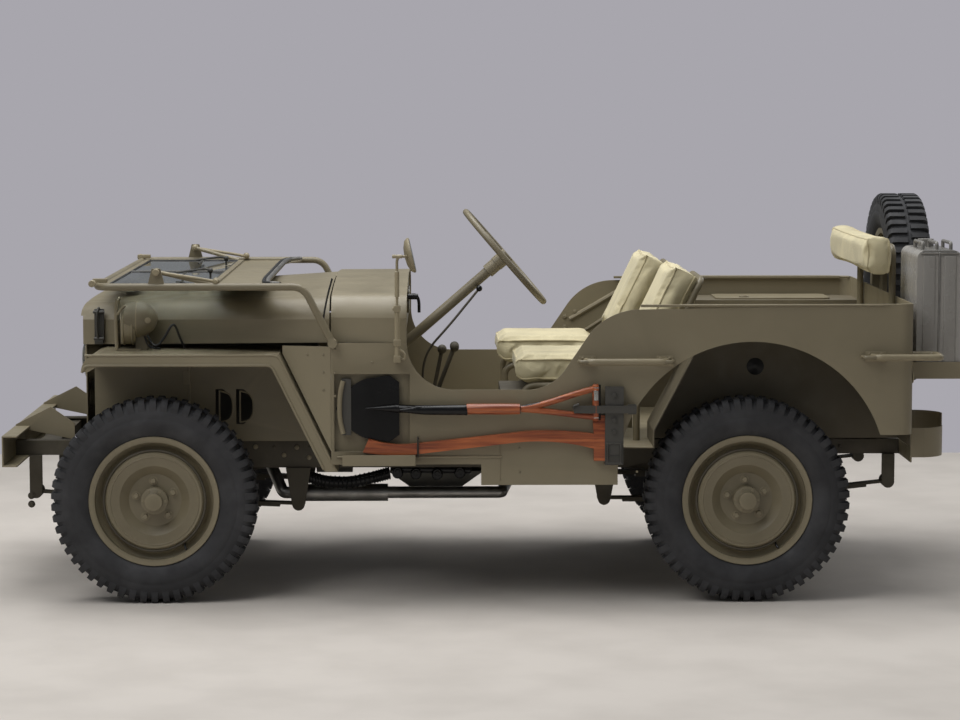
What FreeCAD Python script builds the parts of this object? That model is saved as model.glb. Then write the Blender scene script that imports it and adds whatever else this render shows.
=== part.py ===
import FreeCAD, Part
import math
import os

import Sketcher

# Army 4x4 field car, open body, windshield folded on the hood.
# Millimetres. Minus X is the front, minus Y the driver's side, Z is up from the ground.

Vector = FreeCAD.Vector

SIZES = {
    # Driving dimensions
    "overall_length": 3300, "front_overhang": 522, "wheelbase": 2032, "track": 1245,
    "body_width": 1486, "sheet": 4, "slack": 1.5, "overrun": 20,
    # Wheels and tyres
    "tyre_radius": 352, "tyre_width": 158, "tread_width": 124, "lug_height": 11, "lug_width": 30, "lug_count": 40,
    "rim_radius": 222, "rim_seat_radius": 203, "rim_width": 128, "rim_sheet": 5, "flange_lip": 9,
    "disc_offset": 22, "disc_dish": 30, "dish_radius": 120, "hub_radius": 46, "hub_length": 62,
    "hub_cap_radius": 30, "hub_cap_length": 24, "drum_radius": 118, "drum_width": 46,
    "spindle_radius": 24, "spindle_gap": 0.5, "nut_circle": 70, "nut_radius": 11, "nut_height": 16,
    # Frame
    "frame_width": 743, "rail_width": 45, "rail_top": 524, "rail_depth": 98,
    "frame_wall": 5, "rear_frame_end": 1474, "member_width": 70, "member_drop": 12,
    # Bumpers and hook
    "bumper_half": 650, "bumper_low": 467, "bumper_high": 573, "bumper_depth": 52,
    "bumper_wall": 5, "gusset_long": 210, "gusset_top": 640, "gusset_y": 340, "gusset_wall": 6,
    "bumperette_y": 520, "bumperette_half": 95, "bumperette_low": 490, "bumperette_high": 634, "bumperette_step": 592,
    "bumperette_end": 1616, "hook_plate": 130, "hook_reach": 110, "hook_height": 505,
    # Engine, gearbox, shafts, exhaust, tank, radiator
    "engine_front": -1210, "engine_rear": -600, "engine_half": 150, "engine_low": 470, "engine_high": 930,
    "gearbox_rear": -40, "gearbox_half": 130, "gearbox_low": 385, "gearbox_high": 620,
    "skid_low": 335, "skid_front": -330, "skid_rear": 0, "skid_half": 210,
    "diff_side": 200, "diff_radius": 108, "diff_long": 150, "shaft_radius": 25, "shaft_end": 40,
    "pipe_radius": 21, "flex_radius": 31, "flex_front": -640, "flex_rear": -336, "flex_height": 322,
    "pipe_y": -268, "pipe_bend": 70, "muffler_radius": 62, "muffler_y": 450, "muffler_front": 180,
    "muffler_rear": 540, "muffler_height": 425,
    "tank_front": 60, "tank_rear": 480, "tank_inner": 210, "tank_outer": 520, "tank_low": 546,
    "tank_high": 716, "radiator_front": -1370, "radiator_rear": -1306, "radiator_half": 215,
    "radiator_low": 530, "radiator_high": 955,
    # Axles and springs
    "axle_tube": 32, "kingpin_y": 530, "ball_radius": 62, "knuckle_gap": 2, "knuckle_wall": 13,
    "knuckle_open": 14, "arm_length": 170, "arm_inset": 12, "arm_thick": 22, "rod_radius": 12,
    "backing_radius": 128, "backing_wall": 4, "spring_width": 44, "spring_leaf": 8,
    "front_spring_front": -1574, "front_spring_front_z": 346, "front_spring_rear": -650,
    "front_spring_rear_z": 300, "rear_spring_front": 430, "rear_spring_front_z": 318,
    "rear_spring_rear": 1436, "rear_spring_rear_z": 377, "spring_top": 318, "eye_radius": 22,
    "shackle_width": 14, "shackle_gap": 1,
    # Body
    "side_top": 1029, "side_rear": 1462, "corner_radius": 45, "side_front": -519, "cowl_seam": 901,
    "entry_sill": 741, "entry_front": -107, "entry_rear": 124, "cowl_rear": -262, "sill_low": 415,
    "sill_front": -10, "ledge_top": 523, "ledge_low": 486, "ledge_front": -480, "ledge_rear": -233,
    "ledge_depth": 40, "arch_centre_x": 912, "arch_centre_z": 445, "arch_radius": 458,
    "rear_low": 584, "floor_top": 544, "toe_rear": -240, "toe_front": -470, "toe_top": 760,
    "house_inner": 460, "house_top": 955, "house_front": 575, "house_knee": 600, "house_slope": 185,
    "recess_front": -508, "recess_rear": -252, "recess_low": 530, "recess_high": 795, "recess_depth": 18,
    "cowl_crown": 1092, "cowl_shoulder": 985, "cowl_front_half": 712, "hood_gap": 6,
    "shoulder_radius": 95, "hinge_half": 150, "hinge_radius": 6, "dash_low": 898, "dial_pitch": 62, "dial_low": 960,
    "dial_radius": 40,
    # Hood and grille
    "hood_front": -1404, "hood_front_half": 418, "hood_front_crown": 1034, "hood_front_shoulder": 955,
    "hood_front_low": 868, "hood_rear_low": 899, "hood_rear_crown": 1084, "hood_rear_half": 704,
    "hood_rear_shoulder": 978, "hood_sheet": 4, "nose_radius": 62, "nose_low": 968,
    "grille_back": -1385, "grille_sheet": 4, "grille_low": 530, "grille_high": 962, "grille_half": 408,
    "slot_width": 30, "slot_pitch": 46, "slot_low": 600, "slot_high": 900, "grille_slots": 9,
    "headlamp_y": 308, "headlamp_z": 812, "headlamp_radius": 84, "marker_z": 668, "marker_radius": 36,
    # Fenders
    "fender_front": -1365, "fender_corner": -696, "fender_foot": -497, "fender_foot_z": 460,
    "fender_top": 862, "fender_lip": 39, "fender_inner": 398, "fender_outer": 732,
    "fender_nose": 60, "apron_front": -1360, "flange_front": -1300, "flange_rear": -720, "louvre_width": 52, "louvre_height": 124,
    "louvre_low": 584, "louvre_front": -938, "louvre_pitch": 72, "fender_sheet": 4,
    # Blackout lamp and headlamps
    "night_lamp_x": -1176, "night_lamp_y": 560, "night_lamp_z": 968, "night_lamp_radius": 62,
    "guard_x": -1262, "guard_width": 70, "guard_sheet": 6, "guard_top": 1040, "lamp_depth": 70,
    # Windshield
    "pivot_x": -513, "pivot_z": 901, "shield_y": 757, "shield_tube": 25, "shield_z": 1092,
    "shield_front": -1308, "shield_bend_x": -610, "shield_bend": 60, "panel_front": -910,
    "panel_crown": -742, "panel_side": -690, "panel_sheet": 4,
    "sash_half": 690, "sash_bar": 22, "sash_sheet": 12, "glass_sheet": 6, "centre_bar": 24,
    "arm_mount_x": -1105, "arm_mount_long": 58, "arm_mount_high": 62, "arm_rear": -930,
    "arm_width": 22, "arm_inner": 728, "pivot_radius": 16,
    # Steering
    "wheel_hub_x": 78, "wheel_hub_z": 1171, "steer_y": 370, "steer_wheel_radius": 218,
    "steer_rim": 11, "steer_spoke": 6, "steer_hub": 26, "steer_hub_long": 40, "column_radius": 18,
    "column_x_share": 0.755, "column_z_share": 0.656, "column_length": 905, "column_hole": 5, "box_long": 150,
    "box_width": 60, "lever_radius": 9, "knob_radius": 17, "gear_lever_x": -142, "gear_lever_z": 812,
    # Seats
    "seat_half": 205, "driver_seat_y": -365, "passenger_seat_y": 365, "driver_seat_x": 92,
    "passenger_seat_x": 45, "seat_length": 405, "seat_low": 746, "seat_thick": 92, "seat_round": 30,
    "back_thick": 98, "back_length": 380, "back_lean": 26, "back_rise": 16, "seat_tube": 12,
    "seat_bend": 55, "seat_back_gap": 14, "rear_cushion_front": 900, "rear_cushion_low": 700,
    "rear_cushion_long": 400, "rear_half": 440, "rear_back_low": 1101, "rear_back_high": 1250,
    "rear_back_x": 1334, "rear_back_thick": 97,
    # Handles, mirror and tools
    "handle_front": 323, "handle_rear": 640, "handle_z": 838, "handle_out": 785, "handle_tube": 14,
    "corner_handle_front": 1284, "corner_handle_rear": 1547, "corner_handle_z": 852,
    "mirror_x": -293, "mirror_y": 784, "mirror_low": 847, "mirror_high": 1196, "mirror_post": 8,
    "mirror_radius": 64, "mirror_disc_x": -250, "mirror_thick": 14,
    "shovel_front": -503, "shovel_rear": -288, "shovel_low": 564, "shovel_high": 790,
    "shovel_axis": 678, "shovel_y": 768, "blade_y": 738, "shovel_sheet": 4, "socket_front": -290,
    "socket_rear": -55, "socket_radius": 14, "socket_bend": 60, "wood_radius": 17, "fork_x": 122,
    "fork_rear": 230, "grip_x": 385, "grip_low": 649, "grip_high": 751, "grip_radius": 9,
    "axe_y": 755, "axe_wide": 20, "axe_butt": -412, "axe_rear": 380, "butt_low": 530, "butt_high": 575,
    "neck_x": -235, "neck_low": 523, "neck_high": 560, "belly_x": 118, "belly_low": 564,
    "belly_high": 599, "eye_low": 539, "eye_high": 591, "head_front": 372, "head_rear": 458,
    "head_low": 500, "head_wide": 23, "bit_front": 366, "bit_rear": 469, "bit_high": 655, "bit_wide": 2,
    "band_front": 303, "band_rear": 515, "band_low": 664, "band_high": 690, "band_sheet": 3,
    "strap_front": 409, "strap_rear": 472, "strap_low": 486, "strap_high": 752,
    "blade_strap_front": -483, "blade_strap_rear": -451, "staple_x": -225, "staple_radius": 3,
    # Rear stowage
    "can_front": 1484, "can_rear": 1645, "can_left": 620, "can_right": 275, "can_low": 768,
    "can_high": 1205, "can_top": 1235, "can_round": 28, "tray_wall": 4, "tray_high": 822,
    "tray_gap": 4, "spare_y": 280, "spare_x": 1566, "spare_z": 1017, "carrier_half": 80, "carrier_low": 860,
    "stud_circle": 67, "stud_radius": 12,
}

doc = FreeCAD.newDocument("FieldCar")
sheet = doc.addObject("Spreadsheet::Sheet", "Sizes")
for row, (name, number) in enumerate(SIZES.items(), start=1):
    sheet.set("A%d" % row, name)
    sheet.set("B%d" % row, str(number))
    sheet.setAlias("B%d" % row, name)
doc.recompute()


# Size arithmetic: each size keeps its number and the sheet formula that it comes from

class Size:
    def __init__(self, number, formula):
        self.number = number
        self.formula = formula

    def __add__(self, other):
        return joined(self, "+", other)

    def __radd__(self, other):
        return joined(other, "+", self)

    def __sub__(self, other):
        return joined(self, "-", other)

    def __rsub__(self, other):
        return joined(other, "-", self)

    def __mul__(self, other):
        return joined(self, "*", other)

    def __rmul__(self, other):
        return joined(other, "*", self)

    def __truediv__(self, other):
        return joined(self, "/", other)

    def __neg__(self):
        return joined(-1, "*", self)

    def __float__(self):
        return float(self.number)


def as_size(thing):
    if isinstance(thing, Size):
        return thing
    return Size(float(thing), "(%r)" % float(thing))


def joined(left, sign, right):
    left = as_size(left)
    right = as_size(right)
    numbers = {
        "+": left.number + right.number,
        "-": left.number - right.number,
        "*": left.number * right.number,
    }
    number = left.number / right.number if sign == "/" else numbers[sign]
    return Size(number, "(%s %s %s)" % (left.formula, sign, right.formula))


class Named:
    def __getattr__(self, name):
        return Size(float(sheet.get(name)), "Sizes." + name)


d = Named()
front_end = -d.overall_length / 2
front_axle = front_end + d.front_overhang
rear_axle = front_axle + d.wheelbase
body_half = d.body_width / 2
rail_outer = d.frame_width / 2
rail_inner = rail_outer - d.rail_width
wheel_y = d.track / 2
axle_z = d.tyre_radius
seat_gap = d.slack / 5
horn_low = d.bumper_low + d.bumper_wall + seat_gap
sash_front = d.shield_front + d.shield_tube / 2 + seat_gap
sash_rear = d.panel_front - seat_gap


# Sketches, pads and cuts

def bind(thing, path, size):
    thing.setExpression(path, as_size(size).formula)


def new_body(label):
    body = doc.addObject("PartDesign::Body", label)
    body.Label = label
    return body


def origin_part(body, role):
    return [part for part in body.Origin.OriginFeatures if part.Role == role][0]


def new_sketch(body, role, level):
    sketch = body.newObject("Sketcher::SketchObject", body.Label + "_sketch")
    sketch.AttachmentSupport = [(origin_part(body, role), "")]
    sketch.MapMode = "FlatFace"
    bind(sketch, "AttachmentOffset.Base.z", level)
    return sketch


def arc_between(start, end, radius):
    """Circle arc from start to end: a plus radius turns left, a minus radius turns right."""
    middle = (start + end) * 0.5
    chord = end - start
    half = chord.Length / 2
    size = max(abs(radius), half)
    side = Vector(-chord.y, chord.x, 0).normalize()
    rise = math.sqrt(size * size - half * half)
    sign = 1 if radius > 0 else -1
    centre = middle + side * rise * sign
    bulge = middle - side * (size - rise) * sign
    return Part.Arc(start, bulge, end), centre


def draw(sketch, points):
    """A closed outline. A point with a third size is reached by an arc of that radius."""
    flat = [Vector(float(point[0]), float(point[1]), 0) for point in points]
    count = len(points)
    first = sketch.GeometryCount
    starts = []
    ends = []
    radii = []
    for index in range(count):
        after = (index + 1) % count
        geometry = first + index
        if len(points[after]) == 3:
            radius = points[after][2]
            arc, centre = arc_between(flat[index], flat[after], float(radius))
            sketch.addGeometry(arc, False)
            forward = float(radius) > 0
            starts.append((geometry, 1 if forward else 2))
            ends.append((geometry, 2 if forward else 1))
            radii.append((geometry, radius if forward else -radius))
        else:
            sketch.addGeometry(Part.LineSegment(flat[index], flat[after]), False)
            starts.append((geometry, 1))
            ends.append((geometry, 2))
    rules = []
    for index in range(count):
        after = (index + 1) % count
        rules.append(Sketcher.Constraint("Coincident", *ends[index], *starts[after]))
    formulas = []
    for index in range(count):
        for kind, size, number in (("DistanceX", points[index][0], flat[index].x),
                                   ("DistanceY", points[index][1], flat[index].y)):
            formulas.append((len(rules), size))
            rules.append(Sketcher.Constraint(kind, -1, 1, *starts[index], number))
    for geometry, radius in radii:
        formulas.append((len(rules), radius))
        rules.append(Sketcher.Constraint("Radius", geometry, float(radius)))
    offset = sketch.ConstraintCount
    sketch.addConstraint(rules)
    for place, size in formulas:
        bind(sketch, "Constraints[%d]" % (offset + place), size)


def draw_circle(sketch, u, v, radius):
    geometry = sketch.GeometryCount
    offset = sketch.ConstraintCount
    centre = Vector(float(u), float(v), 0)
    sketch.addGeometry(Part.Circle(centre, Vector(0, 0, 1), float(radius)), False)
    sketch.addConstraint([
        Sketcher.Constraint("DistanceX", -1, 1, geometry, 3, centre.x),
        Sketcher.Constraint("DistanceY", -1, 1, geometry, 3, centre.y),
        Sketcher.Constraint("Radius", geometry, float(radius)),
    ])
    for place, size in enumerate((u, v, radius)):
        bind(sketch, "Constraints[%d]" % (offset + place), size)


def pad(body, role, low, high, points=(), circles=()):
    """Solid between two levels of the plane's own axis, X, Y or Z."""
    level = -as_size(high) if role == "XZ_Plane" else low
    sketch = new_sketch(body, role, level)
    if points:
        draw(sketch, points)
    for circle in circles:
        draw_circle(sketch, *circle)
    feature = body.newObject("PartDesign::Pad", body.Label + "_pad")
    feature.Profile = sketch
    bind(feature, "Length", as_size(high) - low)
    return feature


def cut(body, role, low, high, points=(), circles=(), outlines=()):
    level = -as_size(low) if role == "XZ_Plane" else high
    sketch = new_sketch(body, role, level)
    if points:
        draw(sketch, points)
    for outline in outlines:
        draw(sketch, outline)
    for circle in circles:
        draw_circle(sketch, *circle)
    feature = body.newObject("PartDesign::Pocket", body.Label + "_cut")
    feature.Profile = sketch
    bind(feature, "Length", as_size(high) - low)
    return feature


def turn(body, role, axis_role, points):
    """Solid of revolution about an axis through the body's origin."""
    sketch = new_sketch(body, role, 0)
    draw(sketch, points)
    feature = body.newObject("PartDesign::Revolution", body.Label + "_turn")
    feature.Profile = sketch
    feature.ReferenceAxis = (origin_part(body, axis_role), [""])
    feature.Angle = 360
    return feature


def place(thing, x=0, y=0, z=0):
    for letter, size in (("x", x), ("y", y), ("z", z)):
        bind(thing, "Placement.Base." + letter, size)
    return thing


def slab(label, role, low, high, points=(), circles=()):
    body = new_body(label)
    pad(body, role, low, high, points, circles)
    return body


def rectangle(left, low, right, high):
    return [(left, low), (right, low), (right, high), (left, high)]


def box(label, x, y, z):
    """Block between pairs of levels."""
    block = doc.addObject("Part::Box", label)
    block.Label = label
    for name, pair in (("Length", x), ("Width", y), ("Height", z)):
        bind(block, name, as_size(pair[1]) - pair[0])
    place(block, x[0], y[0], z[0])
    return block


def rod(label, start, direction, radius, length):
    bar = doc.addObject("Part::Cylinder", label)
    bar.Label = label
    bar.Placement = FreeCAD.Placement(Vector(), FreeCAD.Rotation(Vector(0, 0, 1), Vector(*direction)))
    bind(bar, "Radius", radius)
    bind(bar, "Height", length)
    return place(bar, *start)


def ball(label, centre, radius):
    item = doc.addObject("Part::Sphere", label)
    item.Label = label
    bind(item, "Radius", radius)
    return place(item, *centre)


def fuse(label, items):
    item = doc.addObject("Part::MultiFuse", label)
    item.Label = label
    item.Shapes = items
    item.Refine = False
    return item


def group(label, items):
    item = doc.addObject("Part::Compound", label)
    item.Label = label
    item.Links = items
    return item


def less(label, base, tool):
    item = doc.addObject("Part::Cut", label)
    item.Label = label
    item.Base = base
    item.Tool = tool
    return item


def shared(label, one, other):
    item = doc.addObject("Part::Common", label)
    item.Label = label
    item.Base = one
    item.Tool = other
    return item


def mirrored(label, source):
    item = doc.addObject("Part::Mirroring", label)
    item.Label = label
    item.Source = source
    item.Normal = Vector(0, 1, 0)
    return item


def rounded_path(points, bend):
    """Straight runs joined by tangent arcs, through the corners of a route."""
    corners = [Vector(*[float(size) for size in point]) for point in points]
    edges = []
    here = corners[0]
    for index in range(1, len(corners) - 1):
        corner = corners[index]
        back = (corners[index - 1] - corner).normalize()
        ahead = (corners[index + 1] - corner).normalize()
        half = back.getAngle(ahead) / 2
        reach = bend / math.tan(half)
        start = corner + back * reach
        end = corner + ahead * reach
        inward = (back + ahead).normalize()
        middle = corner + inward * (bend / math.sin(half) - bend)
        edges.append(Part.LineSegment(here, start).toShape())
        edges.append(Part.Arc(start, middle, end).toShape())
        here = end
    edges.append(Part.LineSegment(here, corners[-1]).toShape())
    return Part.Wire(edges), (corners[1] - corners[0]).normalize()


def tube(label, points, radius, bend=0):
    """Bent bar: a circle swept along straight runs and tangent arcs."""
    wire, direction = rounded_path(points, float(bend))
    path = doc.addObject("Part::Feature", label + "_path")
    path.Shape = wire
    section = doc.addObject("Part::Circle", label + "_section")
    section.Placement = FreeCAD.Placement(Vector(), FreeCAD.Rotation(Vector(0, 0, 1), direction))
    bind(section, "Radius", radius)
    place(section, *points[0])
    bar = doc.addObject("Part::Sweep", label)
    bar.Label = label
    bar.Sections = [section]
    bar.Spine = (path, ["Edge%d" % (number + 1) for number in range(len(wire.Edges))])
    bar.Solid = True
    return bar


def flipped(points):
    """The same route on the other side of the car."""
    return [(point[0], -as_size(point[1]), point[2]) for point in points]


# Frame, bumpers and hook

def rail_outline(wall):
    top = d.rail_top - wall
    horn = horn_low + wall
    deep = d.rail_top - d.rail_depth + wall
    run = d.rail_depth * 2
    start = front_end + d.bumper_wall
    return [(start, top), (start, horn), (front_axle - run, horn), (front_axle + run, deep),
            (rear_axle - run * 2, deep), (rear_axle - run, horn), (d.rear_frame_end, horn),
            (d.rear_frame_end, top)]


def make_frame():
    rail = new_body("rail_left")
    pad(rail, "XZ_Plane", -rail_outer, -rail_inner, rail_outline(0))
    cut(rail, "XZ_Plane", -rail_outer + d.frame_wall, -rail_inner, rail_outline(d.frame_wall))
    other = mirrored("rail_right", rail)
    members = []
    frame_long = d.rear_frame_end - front_end
    middles = [front_end + frame_long * share for share in (0.035, 0.1, 0.545, 0.73)]
    middles.append(d.rear_frame_end - d.member_width / 2)
    for number, middle in enumerate(middles):
        members.append(box("member_%d" % number,
                           (middle - d.member_width / 2, middle + d.member_width / 2),
                           (-rail_outer + d.frame_wall / 2, rail_outer - d.frame_wall / 2),
                           (horn_low + d.frame_wall, d.rail_top - d.member_drop)))
    return fuse("frame", [rail, other] + members)


def make_front_bumper():
    rear = front_end + d.bumper_depth
    wall = d.bumper_wall
    channel = slab("bumper_channel", "XZ_Plane", -d.bumper_half, d.bumper_half, [
        (front_end, d.bumper_low), (rear, d.bumper_low), (rear, d.bumper_low + wall),
        (front_end + wall, d.bumper_low + wall), (front_end + wall, d.bumper_high - wall),
        (rear, d.bumper_high - wall), (rear, d.bumper_high), (front_end, d.bumper_high)])
    gussets = []
    for name, low in (("left", -d.gusset_y - d.gusset_wall), ("right", d.gusset_y)):
        gussets.append(slab("gusset_" + name, "XZ_Plane", low, low + d.gusset_wall, [
            (front_end + wall / 2, d.bumper_high - wall), (front_end + d.gusset_long, d.rail_top),
            (front_end + d.gusset_long, (d.rail_top + d.gusset_top) / 2),
            (front_end + d.gusset_long * 0.6, d.gusset_top), (front_end + wall / 2, d.bumper_high + wall)]))
    return fuse("front_bumper", [channel] + gussets)


def make_rear_bumperettes():
    inner_x = d.rear_frame_end + seat_gap
    wall = d.bumper_wall
    side = d.bumperette_half
    y = d.bumperette_y
    reach = d.bumperette_end - side
    left = new_body("bumperette_left")
    pad(left, "XY_Plane", d.bumperette_low, d.bumperette_high, [
        (inner_x, -y - side), (reach, -y - side), (reach, -y + side, side * 1.02), (inner_x, -y + side),
        (inner_x, -y + side - wall), (reach, -y + side - wall), (reach, -y - side + wall, (wall - side) * 1.02),
        (inner_x, -y - side + wall)])
    cut(left, "XY_Plane", d.bumperette_step, d.bumperette_high + wall, [
        (inner_x - wall, -y - side - wall), (d.bumperette_end + wall, -y - side - wall),
        (d.bumperette_end + wall, -y), (inner_x - wall, -y)])
    tongue = box("bumperette_tongue", (inner_x, inner_x + wall), (-y - side + wall / 2, -rail_inner),
                 (horn_low, d.rail_top))
    pair = fuse("bumperette_pair_left", [left, tongue])
    return group("rear_bumperettes", [pair, mirrored("bumperette_pair_right", pair)])


def make_pintle_hook():
    half = d.hook_plate / 2
    plate = box("hook_plate", (d.rear_frame_end, d.rear_frame_end + d.bumper_wall * 2),
                (-half, half), (d.hook_height - half * 0.7, d.hook_height + half * 0.7))
    start = d.rear_frame_end + d.bumper_wall
    reach = d.hook_reach
    jaw = slab("hook_jaw", "XZ_Plane", -half / 3, half / 3, [
        (start, d.hook_height - half * 0.5), (start + reach * 0.7, d.hook_height - half * 0.5),
        (start + reach, d.hook_height, half * 0.5), (start + reach, d.hook_height + half * 0.35),
        (start + reach * 0.78, d.hook_height + half * 0.35), (start + reach * 0.78, d.hook_height - half * 0.1),
        (start + reach * 0.5, d.hook_height - half * 0.1), (start + reach * 0.5, d.hook_height + half * 0.5),
        (start, d.hook_height + half * 0.5)])
    return fuse("pintle_hook", [plate, jaw])


# Engine, driveline, exhaust, tank and radiator

def make_engine_block():
    return box("engine_block", (d.engine_front, d.engine_rear), (-d.engine_half, d.engine_half),
               (d.engine_low, d.engine_high))


def make_gearbox():
    middle = (d.gearbox_low + d.gearbox_high) / 2
    bell = rod("bell_housing", (d.engine_rear, 0, middle), (1, 0, 0), d.gearbox_half * 1.1,
               d.gearbox_half)
    case = box("gear_case", (d.engine_rear, d.skid_front), (-d.gearbox_half * 0.7, d.gearbox_half * 0.7),
               (d.gearbox_low + d.frame_wall, d.gearbox_high))
    transfer = box("transfer_case", (d.skid_front, d.gearbox_rear), (-d.gearbox_half, d.diff_side + d.gearbox_half / 2),
                   (d.gearbox_low, d.gearbox_high * 0.85))
    skid = slab("skid_plate", "XZ_Plane", -d.skid_half, d.skid_half, [
        (d.skid_front, d.gearbox_low), (d.skid_front + d.skid_half / 3, d.skid_low),
        (d.skid_rear - d.skid_half / 3, d.skid_low), (d.skid_rear, d.gearbox_low),
        (d.skid_rear, d.gearbox_low + d.frame_wall), (d.skid_front, d.gearbox_low + d.frame_wall)])
    return fuse("gearbox", [bell, case, transfer, skid])


def make_propeller_shafts():
    """Front and rear shafts, beside the centre line where both final drives sit."""
    height = d.gearbox_low + d.shaft_radius + d.frame_wall
    shafts = []
    for name, start, end in (
            ("front", d.skid_front - d.slack, front_axle + d.diff_long * 0.75),
            ("rear", d.gearbox_rear + d.slack, rear_axle - d.diff_long * 0.75)):
        sign = 1 if name == "rear" else -1
        collar = sign * d.shaft_end
        shafts.append(tube(name + "_shaft", [
            (start, d.diff_side, height), (start + collar, d.diff_side, height),
            (end - collar, d.diff_side, axle_z), (end, d.diff_side, axle_z)], d.shaft_radius, d.shaft_end / 2))
    return group("propeller_shafts", shafts)


def make_exhaust():
    """Down pipe, ribbed flexible length, cross pipe and round muffler."""
    down_x = d.flex_front - d.pipe_bend * 2
    down_y = -d.engine_half - d.pipe_radius - seat_gap
    cross_x = d.pipe_bend
    down = tube("exhaust_pipe", [
        (down_x, down_y, d.engine_high * 0.8), (down_x, down_y, d.flex_height + d.pipe_bend * 2),
        (d.flex_front - d.pipe_bend, d.pipe_y, d.flex_height), (cross_x, d.pipe_y, d.flex_height),
        (cross_x + d.pipe_bend, d.muffler_y, d.flex_height),
        (d.muffler_front - d.pipe_radius, d.muffler_y, d.muffler_height),
        (d.muffler_front + d.pipe_radius, d.muffler_y, d.muffler_height)], d.pipe_radius, d.pipe_bend / 4)
    flex = rod("exhaust_flex", (d.flex_front, d.pipe_y, d.flex_height), (1, 0, 0), d.flex_radius,
               d.flex_rear - d.flex_front)
    muffler = rod("muffler", (d.muffler_front, d.muffler_y, d.muffler_height), (1, 0, 0), d.muffler_radius,
                  d.muffler_rear - d.muffler_front)
    return fuse("exhaust", [down, flex, muffler])


def make_fuel_tank():
    return box("fuel_tank", (d.tank_front, d.tank_rear), (-d.tank_outer, -d.tank_inner),
               (d.tank_low, d.tank_high))


def make_radiator():
    core = box("radiator_core", (d.radiator_front, d.radiator_rear), (-d.radiator_half, d.radiator_half),
               (d.radiator_low, d.radiator_high))
    neck = rod("radiator_neck", ((d.radiator_front + d.radiator_rear) / 2, 0, d.radiator_high), (0, 0, 1),
               d.pipe_radius, d.pipe_radius)
    return fuse("radiator", [core, neck])


# Axles, springs and steering knuckles

def make_axle(name, middle, half):
    tube_bar = rod(name + "_tube", (middle, -half, axle_z), (0, 1, 0), d.axle_tube, half * 2)
    case = ball(name + "_case", (middle, d.diff_side, axle_z), d.diff_radius)
    nose = doc.addObject("Part::Cone", name + "_nose")
    direction = (1, 0, 0) if name == "front_axle" else (-1, 0, 0)
    nose.Placement = FreeCAD.Placement(Vector(), FreeCAD.Rotation(Vector(0, 0, 1), Vector(*direction)))
    bind(nose, "Radius1", d.diff_radius * 0.8)
    bind(nose, "Radius2", d.axle_tube)
    bind(nose, "Height", d.diff_long * 0.75)
    place(nose, middle, d.diff_side, axle_z)
    return [tube_bar, case, nose]


def make_front_axle():
    items = make_axle("front_axle", front_axle, d.kingpin_y)
    for name, side in (("left", -1), ("right", 1)):
        items.append(ball("kingpin_ball_" + name, (front_axle, d.kingpin_y * side, axle_z), d.ball_radius))
    return fuse("front_axle", items)


def make_rear_axle():
    plate_y = wheel_y - d.rim_width / 2 - d.backing_wall - d.slack
    items = make_axle("rear_axle", rear_axle, wheel_y - d.slack)
    reach = wheel_y + d.disc_offset + d.disc_dish
    items.append(rod("rear_spindle", (rear_axle, -reach, axle_z), (0, 1, 0), d.spindle_radius, reach * 2))
    for name, low in (("left", -plate_y - d.backing_wall), ("right", plate_y)):
        items.append(rod("backing_" + name, (rear_axle, low, axle_z), (0, 1, 0), d.backing_radius, d.backing_wall))
    return fuse("rear_axle", items)


def spring_outline(front_x, front_z, seat_x, rear_x, rear_z):
    """Stepped leaf pack under an axle: four steps that shorten towards the bottom."""
    leaf = d.spring_leaf
    top = d.spring_top
    points = [(front_x, front_z), (seat_x, top), (rear_x, rear_z)]
    step_shares = (0.86, 0.66, 0.44, 0.22)
    lower = [(rear_x, as_size(rear_z) - leaf)]
    for number, share in enumerate(step_shares):
        reach = (as_size(rear_x) - seat_x) * share
        drop = (as_size(rear_z) - top) * share
        lower.append((seat_x + reach, top + drop - leaf * (number + 1)))
        lower.append((seat_x + reach, top + drop - leaf * (number + 2)))
    for number, share in reversed(list(enumerate(step_shares))):
        reach = (as_size(front_x) - seat_x) * share
        drop = (as_size(front_z) - top) * share
        lower.append((seat_x + reach, top + drop - leaf * (number + 2)))
        lower.append((seat_x + reach, top + drop - leaf * (number + 1)))
    lower.append((front_x, as_size(front_z) - leaf))
    return points + lower


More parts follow.
